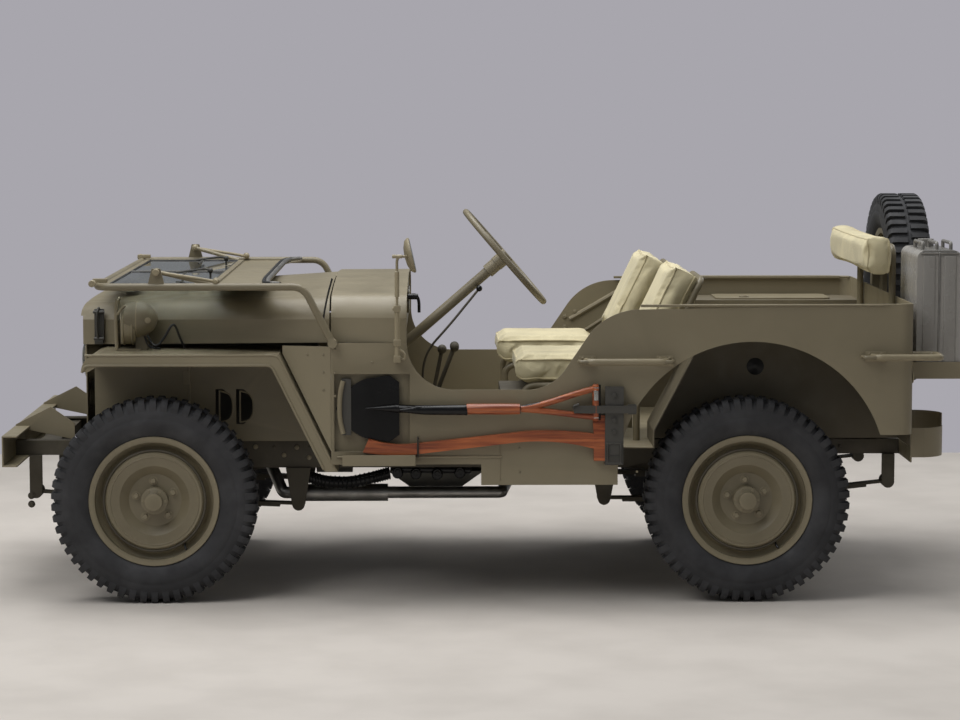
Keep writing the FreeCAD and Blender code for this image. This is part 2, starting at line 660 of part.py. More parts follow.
def make_leaf_springs():
    """Each pack hangs from the rail by a bracket at one end and a shackle at the other."""
    middle_y = -(rail_outer + rail_inner) / 2
    low_y = middle_y - d.spring_width / 2
    high_y = middle_y + d.spring_width / 2
    horn = horn_low
    deep = d.rail_top - d.rail_depth
    lefts = []
    for name, seat, front_x, front_z, rear_x, rear_z, shackle_x, shackle_top, fixed_x, fixed_z, fixed_top in (
            ("front", front_axle, d.front_spring_front, d.front_spring_front_z, d.front_spring_rear,
             d.front_spring_rear_z, d.front_spring_front, horn, d.front_spring_rear,
             d.front_spring_rear_z, deep),
            ("rear", rear_axle, d.rear_spring_front, d.rear_spring_front_z, d.rear_spring_rear,
             d.rear_spring_rear_z, d.rear_spring_rear, horn, d.rear_spring_front,
             d.rear_spring_front_z, deep)):
        pack = slab(name + "_pack", "XZ_Plane", low_y, high_y,
                    spring_outline(front_x, front_z, seat, rear_x, rear_z))
        shackle_z = as_size(front_z if name == "front" else rear_z) - d.spring_leaf / 2
        shackle_eye = rod(name + "_shackle_eye", (shackle_x, low_y - d.shackle_width, shackle_z), (0, 1, 0),
                          d.eye_radius, d.spring_width + d.shackle_width * 2)
        shackle = slab(name + "_shackle", "XZ_Plane", low_y - d.shackle_width, low_y, [
            (shackle_x - d.eye_radius, shackle_z), (shackle_x + d.eye_radius, shackle_z, d.eye_radius * 1.01),
            (shackle_x + d.eye_radius, shackle_top), (shackle_x - d.eye_radius, shackle_top)])
        eye = rod(name + "_fixed_eye", (fixed_x, low_y - d.shackle_width, fixed_z - d.spring_leaf / 2), (0, 1, 0),
                  d.eye_radius, d.spring_width + d.shackle_width * 2)
        hanger = slab(name + "_hanger", "XZ_Plane", low_y - d.shackle_width, low_y, [
            (fixed_x - d.eye_radius, fixed_z - d.spring_leaf), (fixed_x + d.eye_radius, fixed_z - d.spring_leaf, d.eye_radius * 1.1),
            (fixed_x + d.eye_radius * 2, fixed_top), (fixed_x - d.eye_radius * 2, fixed_top)])
        seat_block = box(name + "_seat", (seat - d.spring_width, seat + d.spring_width), (low_y - d.shackle_width, high_y + d.shackle_width),
                         (d.spring_top - d.spring_leaf * 6, d.spring_top + d.slack))
        lefts.append(fuse(name + "_spring_left", [pack, shackle_eye, shackle, eye, hanger, seat_block]))
    rights = [mirrored(item.Label.replace("left", "right"), item) for item in lefts]
    return group("leaf_springs", lefts + rights)


def knuckle_points():
    """Profile about the wheel axis, measured from the kingpin outwards."""
    inner = d.ball_radius + d.knuckle_gap
    outer = inner + d.knuckle_wall
    open_in = Size(math.sqrt(float(inner) ** 2 - float(d.knuckle_open) ** 2),
                   "sqrt(%s ^ 2 - %s ^ 2)" % (inner.formula, d.knuckle_open.formula))
    open_out = Size(math.sqrt(float(outer) ** 2 - float(d.knuckle_open) ** 2),
                    "sqrt(%s ^ 2 - %s ^ 2)" % (outer.formula, d.knuckle_open.formula))
    spindle_end = wheel_y - d.kingpin_y + d.disc_offset + d.disc_dish
    return [(0, inner), (open_in, -d.knuckle_open, -inner), (open_out, -d.knuckle_open),
            (d.backing_radius * 0.62, outer * 0.62, outer), (d.backing_radius * 0.62, outer * 0.62 + d.backing_wall),
            (d.spindle_radius, outer + d.backing_wall), (d.spindle_radius, spindle_end), (0, spindle_end)]


def make_knuckle(side):
    sign = -1 if side == "left" else 1
    name = "knuckle_" + side
    shell = new_body(name + "_shell")
    turn(shell, "XY_Plane", "Y_Axis", [(u, as_size(v) * sign) if len(rest) == 0 else (u, as_size(v) * sign, rest[0] * sign)
                                       for u, v, *rest in knuckle_points()])
    place(shell, front_axle, d.kingpin_y * sign, axle_z)
    pin_y = (d.kingpin_y - d.arm_inset) * sign
    start = d.ball_radius + d.knuckle_gap + d.knuckle_wall / 2
    half = d.arm_thick / 2
    arm = slab(name + "_arm", "XY_Plane", axle_z - half, axle_z + half, [
        (front_axle - start * 0.92, pin_y - half), (front_axle - start * 0.92, pin_y + half),
        (front_axle - d.arm_length, pin_y + half), (front_axle - d.arm_length, pin_y - half, half * 1.02)])
    return fuse(name, [shell, arm])


def make_tie_rod():
    """Track rod between the two arms, on top of the arms' ends."""
    height = axle_z + d.arm_thick / 2 + d.rod_radius + d.slack / 3
    pin = d.kingpin_y - d.arm_inset
    bar = rod("tie_bar", (front_axle - d.arm_length, -pin, height), (0, 1, 0), d.rod_radius, pin * 2)
    ends = [ball("tie_end_" + name, (front_axle - d.arm_length, pin * sign, height), d.rod_radius * 1.02)
            for name, sign in (("left", -1), ("right", 1))]
    return fuse("tie_rod", [bar] + ends)


# Wheels and tyres

def rim_profile(hubbed):
    """Section of rim and disc, radius first, outwards positive; a road wheel adds drum and hub."""
    half = d.rim_width / 2
    rim = d.rim_sheet
    face = d.disc_offset
    bore = d.spindle_radius + d.spindle_gap
    outer = [(d.rim_radius, -half), (d.rim_radius, -half + rim), (d.rim_seat_radius + rim, -half + d.flange_lip),
             (d.rim_seat_radius + rim, -half * 0.45), (d.rim_seat_radius - rim * 2, -half * 0.3),
             (d.rim_seat_radius - rim * 2, half * 0.3), (d.rim_seat_radius + rim, half * 0.45),
             (d.rim_seat_radius + rim, half - d.flange_lip), (d.rim_radius, half - rim), (d.rim_radius, half),
             (d.rim_seat_radius, half - d.flange_lip / 2), (d.rim_seat_radius, half * 0.5),
             (d.rim_seat_radius - rim * 3, half * 0.35), (d.rim_seat_radius - rim * 4, face + rim),
             (d.dish_radius * 1.35, face + d.disc_dish), (d.dish_radius, face + d.disc_dish * 0.8),
             (d.dish_radius * 0.75, face), (d.hub_radius, face)]
    hub_end = face + d.hub_length * 0.6
    drum_end = face - d.drum_width * 1.5
    hub = [(d.hub_radius, face + d.hub_length * 0.5), (d.hub_cap_radius, hub_end),
           (d.hub_cap_radius, face + d.hub_length), (0, face + d.hub_length),
           (0, hub_end), (bore, hub_end), (bore, face - d.drum_width * 0.3),
           (d.drum_radius - rim, face - d.drum_width * 0.3), (d.drum_radius - rim, drum_end),
           (d.drum_radius, drum_end), (d.drum_radius, face - rim)]
    plain = [(d.hub_radius, face - rim), (d.dish_radius * 0.75, face - rim)]
    inner = [(d.dish_radius * 1.1, face + d.disc_dish * 0.6 - rim),
             (d.dish_radius * 1.35, face + d.disc_dish - rim), (d.rim_seat_radius - rim * 4, face),
             (d.rim_seat_radius - rim * 4, half * 0.2), (d.rim_seat_radius - rim * 3, -half * 0.35),
             (d.rim_seat_radius, -half * 0.5), (d.rim_seat_radius, -half + d.flange_lip / 2)]
    return outer + (hub if hubbed else plain) + inner


def make_rim(label, x, y, z, outwards, hubbed=True):
    """Outwards is 1 where the dished side faces +Y, -1 where it faces -Y."""
    body = new_body(label)
    turn(body, "XY_Plane", "Y_Axis", [(u, as_size(v) * outwards) for u, v in rim_profile(hubbed)])
    return place(body, x, y, z)


def tyre_profile():
    half = d.tyre_width / 2
    tread = d.tread_width / 2
    bead = d.rim_seat_radius + d.rim_sheet + seat_gap
    crown = d.tyre_radius - d.lug_height
    beads = d.rim_width / 2 - d.flange_lip - seat_gap
    shoulder = crown - d.lug_height * 2
    return [(bead, -beads), (d.rim_radius + d.slack * 2, -beads - d.slack * 2),
            (d.rim_radius * 1.27, -half), (shoulder, -tread - d.lug_height), (crown, -tread), (crown, tread),
            (shoulder, tread + d.lug_height), (d.rim_radius * 1.27, half),
            (d.rim_radius + d.slack * 2, beads + d.slack * 2), (bead, beads)]


def make_tyre_form():
    """Carcass of one tyre at the origin, with cross bars patterned round its tread."""
    body = new_body("tyre_form")
    turn(body, "XY_Plane", "Y_Axis", tyre_profile())
    half = d.tread_width / 2
    foot = d.tyre_radius - d.lug_height * 3
    bar = pad(body, "YZ_Plane", -d.lug_width / 2, d.lug_width / 2, [
        (-half - d.lug_height, foot), (half + d.lug_height, foot), (half + d.lug_height / 2, d.tyre_radius - d.lug_height / 2),
        (half, d.tyre_radius), (-half, d.tyre_radius), (-half - d.lug_height / 2, d.tyre_radius - d.lug_height / 2)])
    ring = body.newObject("PartDesign::PolarPattern", "tread_bars")
    ring.Originals = [bar]
    ring.Axis = (origin_part(body, "Y_Axis"), [""])
    ring.Angle = 360
    bind(ring, "Occurrences", d.lug_count)
    body.Tip = ring
    return body


def make_tyre(label, form, x, y, z):
    return place(group(label, [form]), x, y, z)


def make_wheels(form):
    made = []
    for end, x in (("front", front_axle), ("rear", rear_axle)):
        for side, sign in (("left", -1), ("right", 1)):
            made.append(make_rim("wheel_%s_%s" % (end, side), x, wheel_y * sign, axle_z, sign))
            made.append(make_tyre("tyre_%s_%s" % (end, side), form, x, wheel_y * sign, axle_z))
    return made


# Open body

def side_outline():
    """Body side with the entry, the wheel arch and the front end over the step."""
    sill_arc = d.entry_sill * 0.2
    rise = d.cowl_seam - d.entry_sill
    arch_rear = arch_meet(d.rear_low)
    arch_front = arch_meet(d.sill_low)
    rear = d.side_rear - d.corner_radius
    return [
        (d.side_front, d.cowl_seam), (d.cowl_rear, d.cowl_seam),
        (d.entry_front, d.entry_sill, rise), (d.entry_rear, d.entry_sill),
        (d.entry_rear + sill_arc, d.entry_sill + sill_arc * 0.43, rise),
        (d.entry_rear + sill_arc * 1.52, d.entry_sill + sill_arc * 1.2),
        (d.entry_rear + sill_arc * 2.65, d.side_top - d.entry_sill * 0.022, -rise * 1.35),
        (rear, d.side_top), (rear, d.rear_low), (d.arch_centre_x + arch_rear, d.rear_low),
        (d.arch_centre_x - arch_front, d.sill_low, d.arch_radius), (d.sill_front, d.sill_low),
        (d.sill_front, d.ledge_low), (d.side_front, d.ledge_low)]


def arch_meet(height):
    drop = as_size(height) - d.arch_centre_z
    number = math.sqrt(float(d.arch_radius) ** 2 - float(drop) ** 2)
    return Size(number, "sqrt(%s ^ 2 - %s ^ 2)" % (d.arch_radius.formula, drop.formula))


def make_body_sides():
    """Side panels with step ledges; the left one has a recess behind the shovel's blade."""
    wall = d.sheet
    panel = new_body("side_panel_left")
    pad(panel, "XZ_Plane", -body_half, -body_half + wall, side_outline())
    outer = -body_half - d.ledge_depth
    ledge = box("ledge_left", (d.ledge_front, d.ledge_rear), (outer, -body_half + wall),
                (d.ledge_low, d.ledge_low + wall))
    lip = box("ledge_lip_left", (d.ledge_front, d.ledge_rear), (outer, outer + wall), (d.ledge_low, d.ledge_top))
    hem = box("side_hem_left", (d.entry_rear + d.entry_sill * 0.55, d.side_rear - d.corner_radius),
              (-body_half, -body_half + wall * 5), (d.side_top - wall * 2, d.side_top))
    plain = fuse("side_plain", [panel, ledge, lip, hem])
    floor_y = -body_half + d.recess_depth
    pan = box("recess_pan", (d.recess_front - wall, d.recess_rear + wall), (-body_half, floor_y + wall),
              (d.recess_low - wall, d.recess_high + wall))
    hollow = box("recess_hollow", (d.recess_front, d.recess_rear), (-body_half - wall, floor_y),
                 (d.recess_low, d.recess_high))
    left = less("body_side_left", fuse("side_with_pan", [plain, pan]), hollow)
    return [left, mirrored("body_side_right", plain)]


def make_rear_panel():
    """Tail panel with its two round corners, open at the top."""
    inner = d.corner_radius - d.sheet
    front = d.side_rear - d.corner_radius
    half = body_half
    panel = new_body("rear_panel")
    pad(panel, "XY_Plane", d.rear_low, d.side_top, [
        (front, -half), (d.side_rear, -half + d.corner_radius, d.corner_radius),
        (d.side_rear, half - d.corner_radius), (front, half, d.corner_radius), (front, half - d.sheet),
        (d.side_rear - d.sheet, half - d.corner_radius, -inner),
        (d.side_rear - d.sheet, -half + d.corner_radius), (front, -half + d.sheet, -inner)])
    return panel


def make_floor_pan():
    """Floor, toe board and the lower firewall, one bent sheet, and the narrow cargo floor."""
    wall = d.sheet
    top = d.floor_top
    inner = body_half - wall
    front = new_body("front_floor")
    pad(front, "XZ_Plane", -inner, inner, [
        (d.toe_rear, top), (d.toe_rear - wall, top - wall), (d.house_front, top - wall), (d.house_front, top)])
    pad(front, "XZ_Plane", -inner + d.recess_depth + seat_gap, inner, [
        (d.toe_front, d.toe_top), (d.toe_rear, top), (d.toe_rear - wall, top - wall),
        (d.toe_front - wall, d.toe_top - wall / 2), (d.toe_front - wall, d.cowl_seam), (d.toe_front, d.cowl_seam)])
    rear = box("cargo_floor", (d.house_front - wall, d.side_rear - wall), (-d.house_inner, d.house_inner), (top - wall, top))
    hole = rod("column_opening", along_column(d.column_length * 0.5), column_axis(),
               d.column_radius + d.column_hole, d.column_length * 0.45)
    return less("floor_pan", fuse("floor_sheets", [front, rear]), hole)


def make_wheelhouses():
    """Closed boxes over the rear wheels, open below and outwards."""
    wall = d.sheet
    inner = body_half - wall
    rear = d.side_rear - wall
    left = new_body("wheelhouse_left")
    top = d.house_top
    low = d.floor_top - wall
    shoulder = d.house_front + d.house_slope
    pad(left, "XZ_Plane", -inner, -d.house_inner, [
        (d.house_front, low), (rear, low), (rear, top), (shoulder, top), (d.house_front, d.house_knee)])
    cut(left, "XZ_Plane", -inner, -d.house_inner - wall, [
        (d.house_front + wall, low - wall), (rear - wall, low - wall), (rear - wall, top - wall),
        (shoulder + wall / 2, top - wall), (d.house_front + wall, d.house_knee - wall / 4)])
    round_in = d.corner_radius - wall
    cut(left, "XY_Plane", low - wall, top + wall, [
        (rear - round_in, -inner - d.overrun), (rear + d.overrun, -inner - d.overrun),
        (rear + d.overrun, -inner + round_in), (rear, -inner + round_in), (rear - round_in, -inner, -round_in)])
    return group("wheelhouses", [left, mirrored("wheelhouse_right", left)])


def cowl_section(half, low, shoulder, crown):
    """Half-round shouldered arch over the engine, in the plane across the car."""
    round_in = d.shoulder_radius
    bow = (as_size(crown) - shoulder) * 0.3
    top = as_size(crown) - bow
    flat = as_size(half) - round_in
    crown_radius = flat * flat / (bow * 2) + bow / 2
    return [(-half, low), (half, low), (half, shoulder), (half - round_in, top, round_in * 1.02),
            (-half + round_in, top, crown_radius), (-half, shoulder, round_in * 1.02)]


def section_loft(body, kind, front_x, front, rear_x, rear):
    sketches = []
    for x, points in ((front_x, front), (rear_x, rear)):
        sketch = new_sketch(body, "YZ_Plane", x)
        draw(sketch, points)
        sketches.append(sketch)
    feature = body.newObject(kind, body.Label + "_loft")
    feature.Profile = sketches[0]
    feature.Sections = [sketches[1]]
    feature.Ruled = True
    return feature


def make_cowl():
    wall = d.sheet
    low = d.cowl_seam
    half = body_half
    body = new_body("cowl_sheet")
    section_loft(body, "PartDesign::AdditiveLoft",
                 d.side_front, cowl_section(d.cowl_front_half, low, d.cowl_shoulder, d.cowl_crown),
                 d.cowl_rear, cowl_section(half, low, d.cowl_shoulder, d.cowl_crown))
    section_loft(body, "PartDesign::SubtractiveLoft",
                 d.side_front - wall, cowl_section(d.cowl_front_half - wall, low - wall, d.cowl_shoulder - wall, d.cowl_crown - wall),
                 d.cowl_rear + wall, cowl_section(half - wall, low - wall, d.cowl_shoulder - wall, d.cowl_crown - wall))
    radius = d.hinge_radius
    hinge = rod("hood_hinge", (d.side_front - d.hood_gap + seat_gap + radius, -d.hinge_half, d.hood_rear_crown),
                (0, 1, 0), radius, d.hinge_half * 2)
    return fuse("cowl", [body, hinge])


def inside_cowl(x, low):
    """Section that fits under the cowl at one place along it."""
    inset = d.sheet + d.slack / 2
    share = (as_size(x) - d.side_front) / (d.cowl_rear - d.side_front)
    half = d.cowl_front_half + (body_half - d.cowl_front_half) * share - inset
    return cowl_section(half, low, d.cowl_shoulder - inset, d.cowl_crown - inset)


def make_firewall():
    x = d.toe_front - d.sheet
    return slab("firewall", "YZ_Plane", x, x + d.sheet, inside_cowl(x, d.cowl_seam + seat_gap))


def make_dash_panel():
    """Instrument panel under the cowl's rear edge, with five dials and a glove opening."""
    wall = d.sheet
    x = d.cowl_rear - wall * 3
    face = new_body("dash_face")
    pad(face, "YZ_Plane", x, x + wall, inside_cowl(x, d.dash_low))
    glove = d.seat_half
    cut(face, "YZ_Plane", x - wall, x + wall * 2, rectangle(
        d.steer_y - glove * 0.5, d.dash_low + wall * 8, d.steer_y + glove * 0.9, d.cowl_shoulder + wall * 6))
    dials = []
    for name, y, z, radius in (("speed", 0, 1, 40), ("fuel", -1, 1.4, 26), ("amps", 1, 1.4, 26),
                               ("oil", -1, 0.4, 26), ("heat", 1, 0.4, 26)):
        dials.append(rod("dial_" + name, (x + wall / 2, d.dial_pitch * y, d.dial_low + d.dial_pitch * z * 0.6), (1, 0, 0),
                         d.dial_radius * radius / 40, wall * 2.5))
    return fuse("dash_panel", [face] + dials)


# Hood and grille

def hood_section(half, low, shoulder, crown, inset):
    return cowl_section(half - inset, low - (0 if inset is ZERO else d.overrun), shoulder - inset, crown - inset)


ZERO = as_size(0)


def make_hood():
    """Pressed hood: a tapered arch with a rounded nose, open below."""
    wall = d.hood_sheet
    rear = d.side_front - d.hood_gap
    front = d.hood_front
    parts = []
    for name, inset in (("hood_outer", ZERO), ("hood_inner", wall)):
        body = new_body(name)
        reach = ZERO if inset is ZERO else d.overrun
        section_loft(body, "PartDesign::AdditiveLoft",
                     front, hood_section(d.hood_front_half, d.hood_front_low, d.hood_front_shoulder, d.hood_front_crown, inset),
                     rear + reach, hood_section(d.hood_rear_half, d.hood_rear_low, d.hood_rear_shoulder, d.hood_rear_crown, inset))
        nose = d.nose_radius - inset
        side = slab(name + "_side", "XZ_Plane", -body_half, body_half, [
            (front + inset, d.hood_front_low - d.overrun * 3), (rear + d.overrun * 2, d.hood_front_low - d.overrun * 3),
            (rear + d.overrun * 2, d.hood_rear_crown + d.overrun), (front + inset + d.nose_radius, d.hood_front_crown + d.overrun),
            (front + inset + nose, d.hood_front_crown - inset), (front + inset, d.hood_front_crown - inset - nose, nose)])
        parts.append(shared(name + "_form", body, side))
    shell = less("hood_shell", parts[0], parts[1])
    mouth = box("hood_mouth", (front - d.overrun, front + wall * 2), (-body_half, body_half),
                (d.hood_front_low - d.overrun, d.nose_low))
    return less("hood", shell, mouth)


def make_grille():
    """Pressed grille with nine tall slots, two lamp holes and two marker holes."""
    body = new_body("grille")
    half = d.grille_half
    back = d.grille_back
    round_in = d.nose_radius
    pad(body, "YZ_Plane", back - d.grille_sheet, back, [
        (-half, d.grille_low), (half, d.grille_low), (half, d.grille_high - round_in),
        (half - round_in, d.grille_high, round_in), (-half + round_in, d.grille_high),
        (-half, d.grille_high - round_in, round_in)])
    slots = []
    for number in range(int(d.grille_slots.number)):
        middle = (number - (d.grille_slots - 1) / 2) * d.slot_pitch
        slots.append(rectangle(middle - d.slot_width / 2, d.slot_low, middle + d.slot_width / 2, d.slot_high))
    holes = [(d.headlamp_y * sign, z, radius) for sign in (-1, 1)
             for z, radius in ((d.headlamp_z, d.headlamp_radius), (d.marker_z, d.marker_radius))]
    cut(body, "YZ_Plane", back - d.grille_sheet * 2, back + d.grille_sheet, outlines=slots)
    cut(body, "YZ_Plane", back - d.grille_sheet * 2, back + d.grille_sheet, circles=holes)
    return body


def make_lamps():
    """Headlamps and markers in the grille, and the guarded lamp on the left fender."""
    items = []
    front = d.grille_back - d.grille_sheet
    for name, sign in (("left", -1), ("right", 1)):
        for kind, z, radius in (("headlamp", d.headlamp_z, d.headlamp_radius - d.slack),
                                ("marker", d.marker_z, d.marker_radius - d.slack)):
            body = new_body("%s_%s" % (kind, name))
            depth = radius * 0.8
            turn(body, "XY_Plane", "X_Axis", [
                (0, 0), (-radius * 0.06, radius * 0.6), (0, radius, -radius * 3), (d.grille_sheet * 2, radius),
                (depth, radius * 0.3, -radius), (depth, 0)])
            place(body, front, d.headlamp_y * sign, z)
            items.append(body)
    radius = d.night_lamp_radius
    barrel = new_body("night_lamp_body")
    turn(barrel, "XY_Plane", "X_Axis", [
        (-radius * 0.9, 0), (-radius * 0.9, radius * 0.85), (-radius * 0.2, radius), (radius * 0.9, 0, -radius * 1.15)])
    place(barrel, d.night_lamp_x, -d.night_lamp_y, d.night_lamp_z)
    post = box("night_lamp_post", (d.night_lamp_x - radius / 3, d.night_lamp_x + radius / 3),
               (-d.night_lamp_y - radius / 4, -d.night_lamp_y + radius / 4), (d.fender_top + seat_gap, d.night_lamp_z))
    guard = slab("night_lamp_guard", "XZ_Plane", -d.night_lamp_y - d.guard_width / 2, -d.night_lamp_y + d.guard_width / 2, [
        (d.guard_x, d.fender_top + seat_gap), (d.night_lamp_x, d.fender_top + seat_gap),
        (d.night_lamp_x, d.fender_top + d.guard_sheet), (d.guard_x + d.guard_sheet, d.fender_top + d.guard_sheet),
        (d.guard_x + d.guard_sheet, d.guard_top), (d.guard_x, d.guard_top)])
    items.append(fuse("night_lamp", [barrel, post, guard]))
    return group("lamps", items)


# Fenders

def make_fender():
    """Flat-topped fender: bent top sheet, outer lip, inner apron with two D openings."""
    wall = d.fender_sheet
    top = d.fender_top
    lip = d.fender_lip
    front = d.fender_front
    body = new_body("fender_sheet_left")
    nose = d.fender_nose
    foot = d.rail_top + seat_gap
    pad(body, "XZ_Plane", -d.fender_outer, -d.fender_inner, [
        (front, top - nose), (front + nose, top, -nose), (d.fender_corner, top), (d.fender_foot, d.fender_foot_z),
        (d.fender_foot - wall * 1.3, d.fender_foot_z), (d.fender_corner - wall * 0.6, top - wall),
        (front + nose, top - wall), (front + wall, top - nose, nose - wall)])
    pad(body, "XZ_Plane", -d.fender_outer, -d.fender_outer + wall, [
        (front, top - nose), (front + nose, top, -nose), (d.fender_corner, top), (d.fender_foot, d.fender_foot_z),
        (d.fender_foot - lip * 1.15, d.fender_foot_z), (d.fender_corner - lip * 0.6, top - lip),
        (front + nose, top - lip), (front + lip * 0.6, top - nose)])
    pad(body, "XZ_Plane", -d.fender_inner - wall, -d.fender_inner, [
        (d.apron_front, foot), (d.apron_front, top - nose), (front + nose, top - wall / 2),
        (d.fender_corner, top - wall / 2), (d.fender_foot - d.fender_lip, foot)])
    pad(body, "XY_Plane", foot, foot + wall, rectangle(d.flange_front, -d.fender_inner - wall, d.flange_rear, -rail_inner))
    openings = []
    for number in range(2):
        left = d.louvre_front + d.louvre_pitch * number
        openings.append([(left, d.louvre_low), (left + d.louvre_width / 2, d.louvre_low),
                         (left + d.louvre_width / 2, d.louvre_low + d.louvre_height, d.louvre_height * 0.6),
                         (left, d.louvre_low + d.louvre_height)])
    cut(body, "XZ_Plane", -d.fender_inner - wall * 2, -d.fender_inner + wall, outlines=openings)
    return group("front_fenders", [body, mirrored("fender_sheet_right", body)])


# Windshield, folded forward on the hood

def make_windshield_frame():
    """Outer tube, lower panel between its arms, and the pivots at the cowl."""
    y = d.shield_y
    radius = d.shield_tube / 2
    outer = tube("shield_tube", [
        (d.pivot_x, -y, d.pivot_z), (d.shield_bend_x, -y, d.shield_z), (d.shield_front, -y, d.shield_z),
        (d.shield_front, y, d.shield_z), (d.shield_bend_x, y, d.shield_z), (d.pivot_x, y, d.pivot_z)],
        radius, d.shield_bend)
    low = d.shield_z - d.panel_sheet
    side = y - radius * 0.6
    bow = d.shoulder_radius
    panel = slab("shield_panel", "XY_Plane", low, low + d.panel_sheet * 0.9, [
        (d.panel_front, -side), (d.panel_side, -side), (d.panel_side, -side + bow / 2),
        (d.panel_crown, -side + bow * 2.2, -bow * 4), (d.panel_crown, side - bow * 2.2),
        (d.panel_side, side - bow / 2, -bow * 4), (d.panel_side, side), (d.panel_front, side)])
    pivots = []
    reach = y + radius + d.slack
    for name, low_y in (("left", -reach), ("right", body_half + seat_gap)):
        pivots.append(rod("shield_pivot_" + name, (d.pivot_x, low_y, d.pivot_z), (0, 1, 0), d.pivot_radius,
                          reach - body_half - seat_gap))
    mounts = []
    for name, sign in (("left", -1), ("right", 1)):
        middle = -y if sign < 0 else y
        inner = d.arm_width / 2
        mounts.append(slab("arm_mount_" + name, "XZ_Plane", middle - inner / 2, middle + inner / 2, [
            (d.arm_mount_x - d.arm_mount_long / 2, d.shield_z + radius / 3),
            (d.arm_mount_x + d.arm_mount_long / 2, d.shield_z + radius / 3),
            (d.arm_mount_x + d.arm_mount_long / 4, d.shield_z + d.arm_mount_high),
            (d.arm_mount_x - d.arm_mount_long / 4, d.shield_z + d.arm_mount_high)]))
    return fuse("windshield_frame", [outer, panel] + pivots + mounts)


def make_windshield_sash():
    """Inner glazing frame with a centre bar, and the two stays from the outer tube."""
    low = d.shield_z - d.sash_sheet / 2
    high = low + d.sash_sheet
    bar = d.sash_bar
    half = d.sash_half
    sash = new_body("sash_frame")
    pad(sash, "XY_Plane", low, high, rectangle(sash_front, -half, sash_rear, half))
    panes = [rectangle(sash_front + bar, -half + bar, sash_rear - bar, -d.centre_bar / 2),
             rectangle(sash_front + bar, d.centre_bar / 2, sash_rear - bar, half - bar)]
    cut(sash, "XY_Plane", low - bar, high + bar, outlines=panes)
    stays = []
    for name, sign in (("left", -1), ("right", 1)):
        stays.append(tube("stay_" + name, [
            (d.arm_mount_x, d.arm_inner * sign, d.shield_z + d.arm_mount_high * 0.8),
            (d.arm_rear, (half - bar / 2) * sign, high - d.slack)], d.arm_width / 3))
        mount = d.shield_y - d.arm_width / 4 - seat_gap
        low_y = d.arm_inner if sign > 0 else -mount
        stays.append(rod("stay_pin_" + name, (d.arm_mount_x, low_y, d.shield_z + d.arm_mount_high * 0.8),
                         (0, 1, 0), d.arm_width / 4, mount - d.arm_inner))
    return fuse("windshield_sash", [sash] + stays)


def make_windshield_glass():
    low = d.shield_z - d.glass_sheet / 2
    gap = d.sash_bar + seat_gap
    panes = [box("pane_left", (sash_front + gap, sash_rear - gap), (-d.sash_half + gap, -d.centre_bar / 2 - seat_gap),
                 (low, low + d.glass_sheet)),
             box("pane_right", (sash_front + gap, sash_rear - gap), (d.centre_bar / 2 + seat_gap, d.sash_half - gap),
                 (low, low + d.glass_sheet))]
    return group("windshield_glass", panes)


# Steering and controls

def along_column(distance):
    """Point on the steering column's line, measured down from the wheel's hub."""
    return (d.wheel_hub_x - d.column_x_share * distance, -d.steer_y, d.wheel_hub_z - d.column_z_share * distance)


def column_axis():
    return (-float(d.column_x_share), 0, -float(d.column_z_share))


def make_steering_column():
    tube_bar = rod("column_tube", along_column(d.steer_hub_long), column_axis(), d.column_radius, d.column_length - d.steer_hub_long)
    collar = rod("column_collar", along_column(d.steer_hub_long), column_axis(), d.column_radius * 1.35, d.steer_hub_long)
    end = along_column(d.column_length)
    gear = box("steering_box", (end[0] - d.box_long / 2, end[0] + d.box_long / 2),
               (-d.steer_y - d.box_width / 2 + d.column_hole, -d.steer_y + d.box_width / 2 + d.column_hole),
               (d.rail_top + seat_gap, end[2] + d.box_width / 2))
    return fuse("steering_column", [tube_bar, collar, gear])


def make_steering_wheel():
    ring = doc.addObject("Part::Torus", "steering_rim")
    bind(ring, "Radius1", d.steer_wheel_radius - d.steer_rim)
    bind(ring, "Radius2", d.steer_rim)
    ring.Placement = FreeCAD.Placement(Vector(), FreeCAD.Rotation(Vector(0, 0, 1), Vector(*column_axis())))
    place(ring, *along_column(d.steer_rim * 0))
    hub = rod("steering_hub", along_column(-d.steer_hub * 0.5), column_axis(), d.steer_hub, d.steer_hub * 0.5 + d.steer_hub_long - seat_gap)
    spokes = []
    across = Vector(0, 1, 0)
    axis = Vector(*column_axis())
    for number in range(3):
        direction = FreeCAD.Rotation(axis, 90 + 120 * number).multVec(across)
        spokes.append(rod("spoke_%d" % number, along_column(d.steer_rim * 0), tuple(direction), d.steer_spoke,
                          d.steer_wheel_radius - d.steer_rim))
    return fuse("steering_wheel", [ring, hub] + spokes)


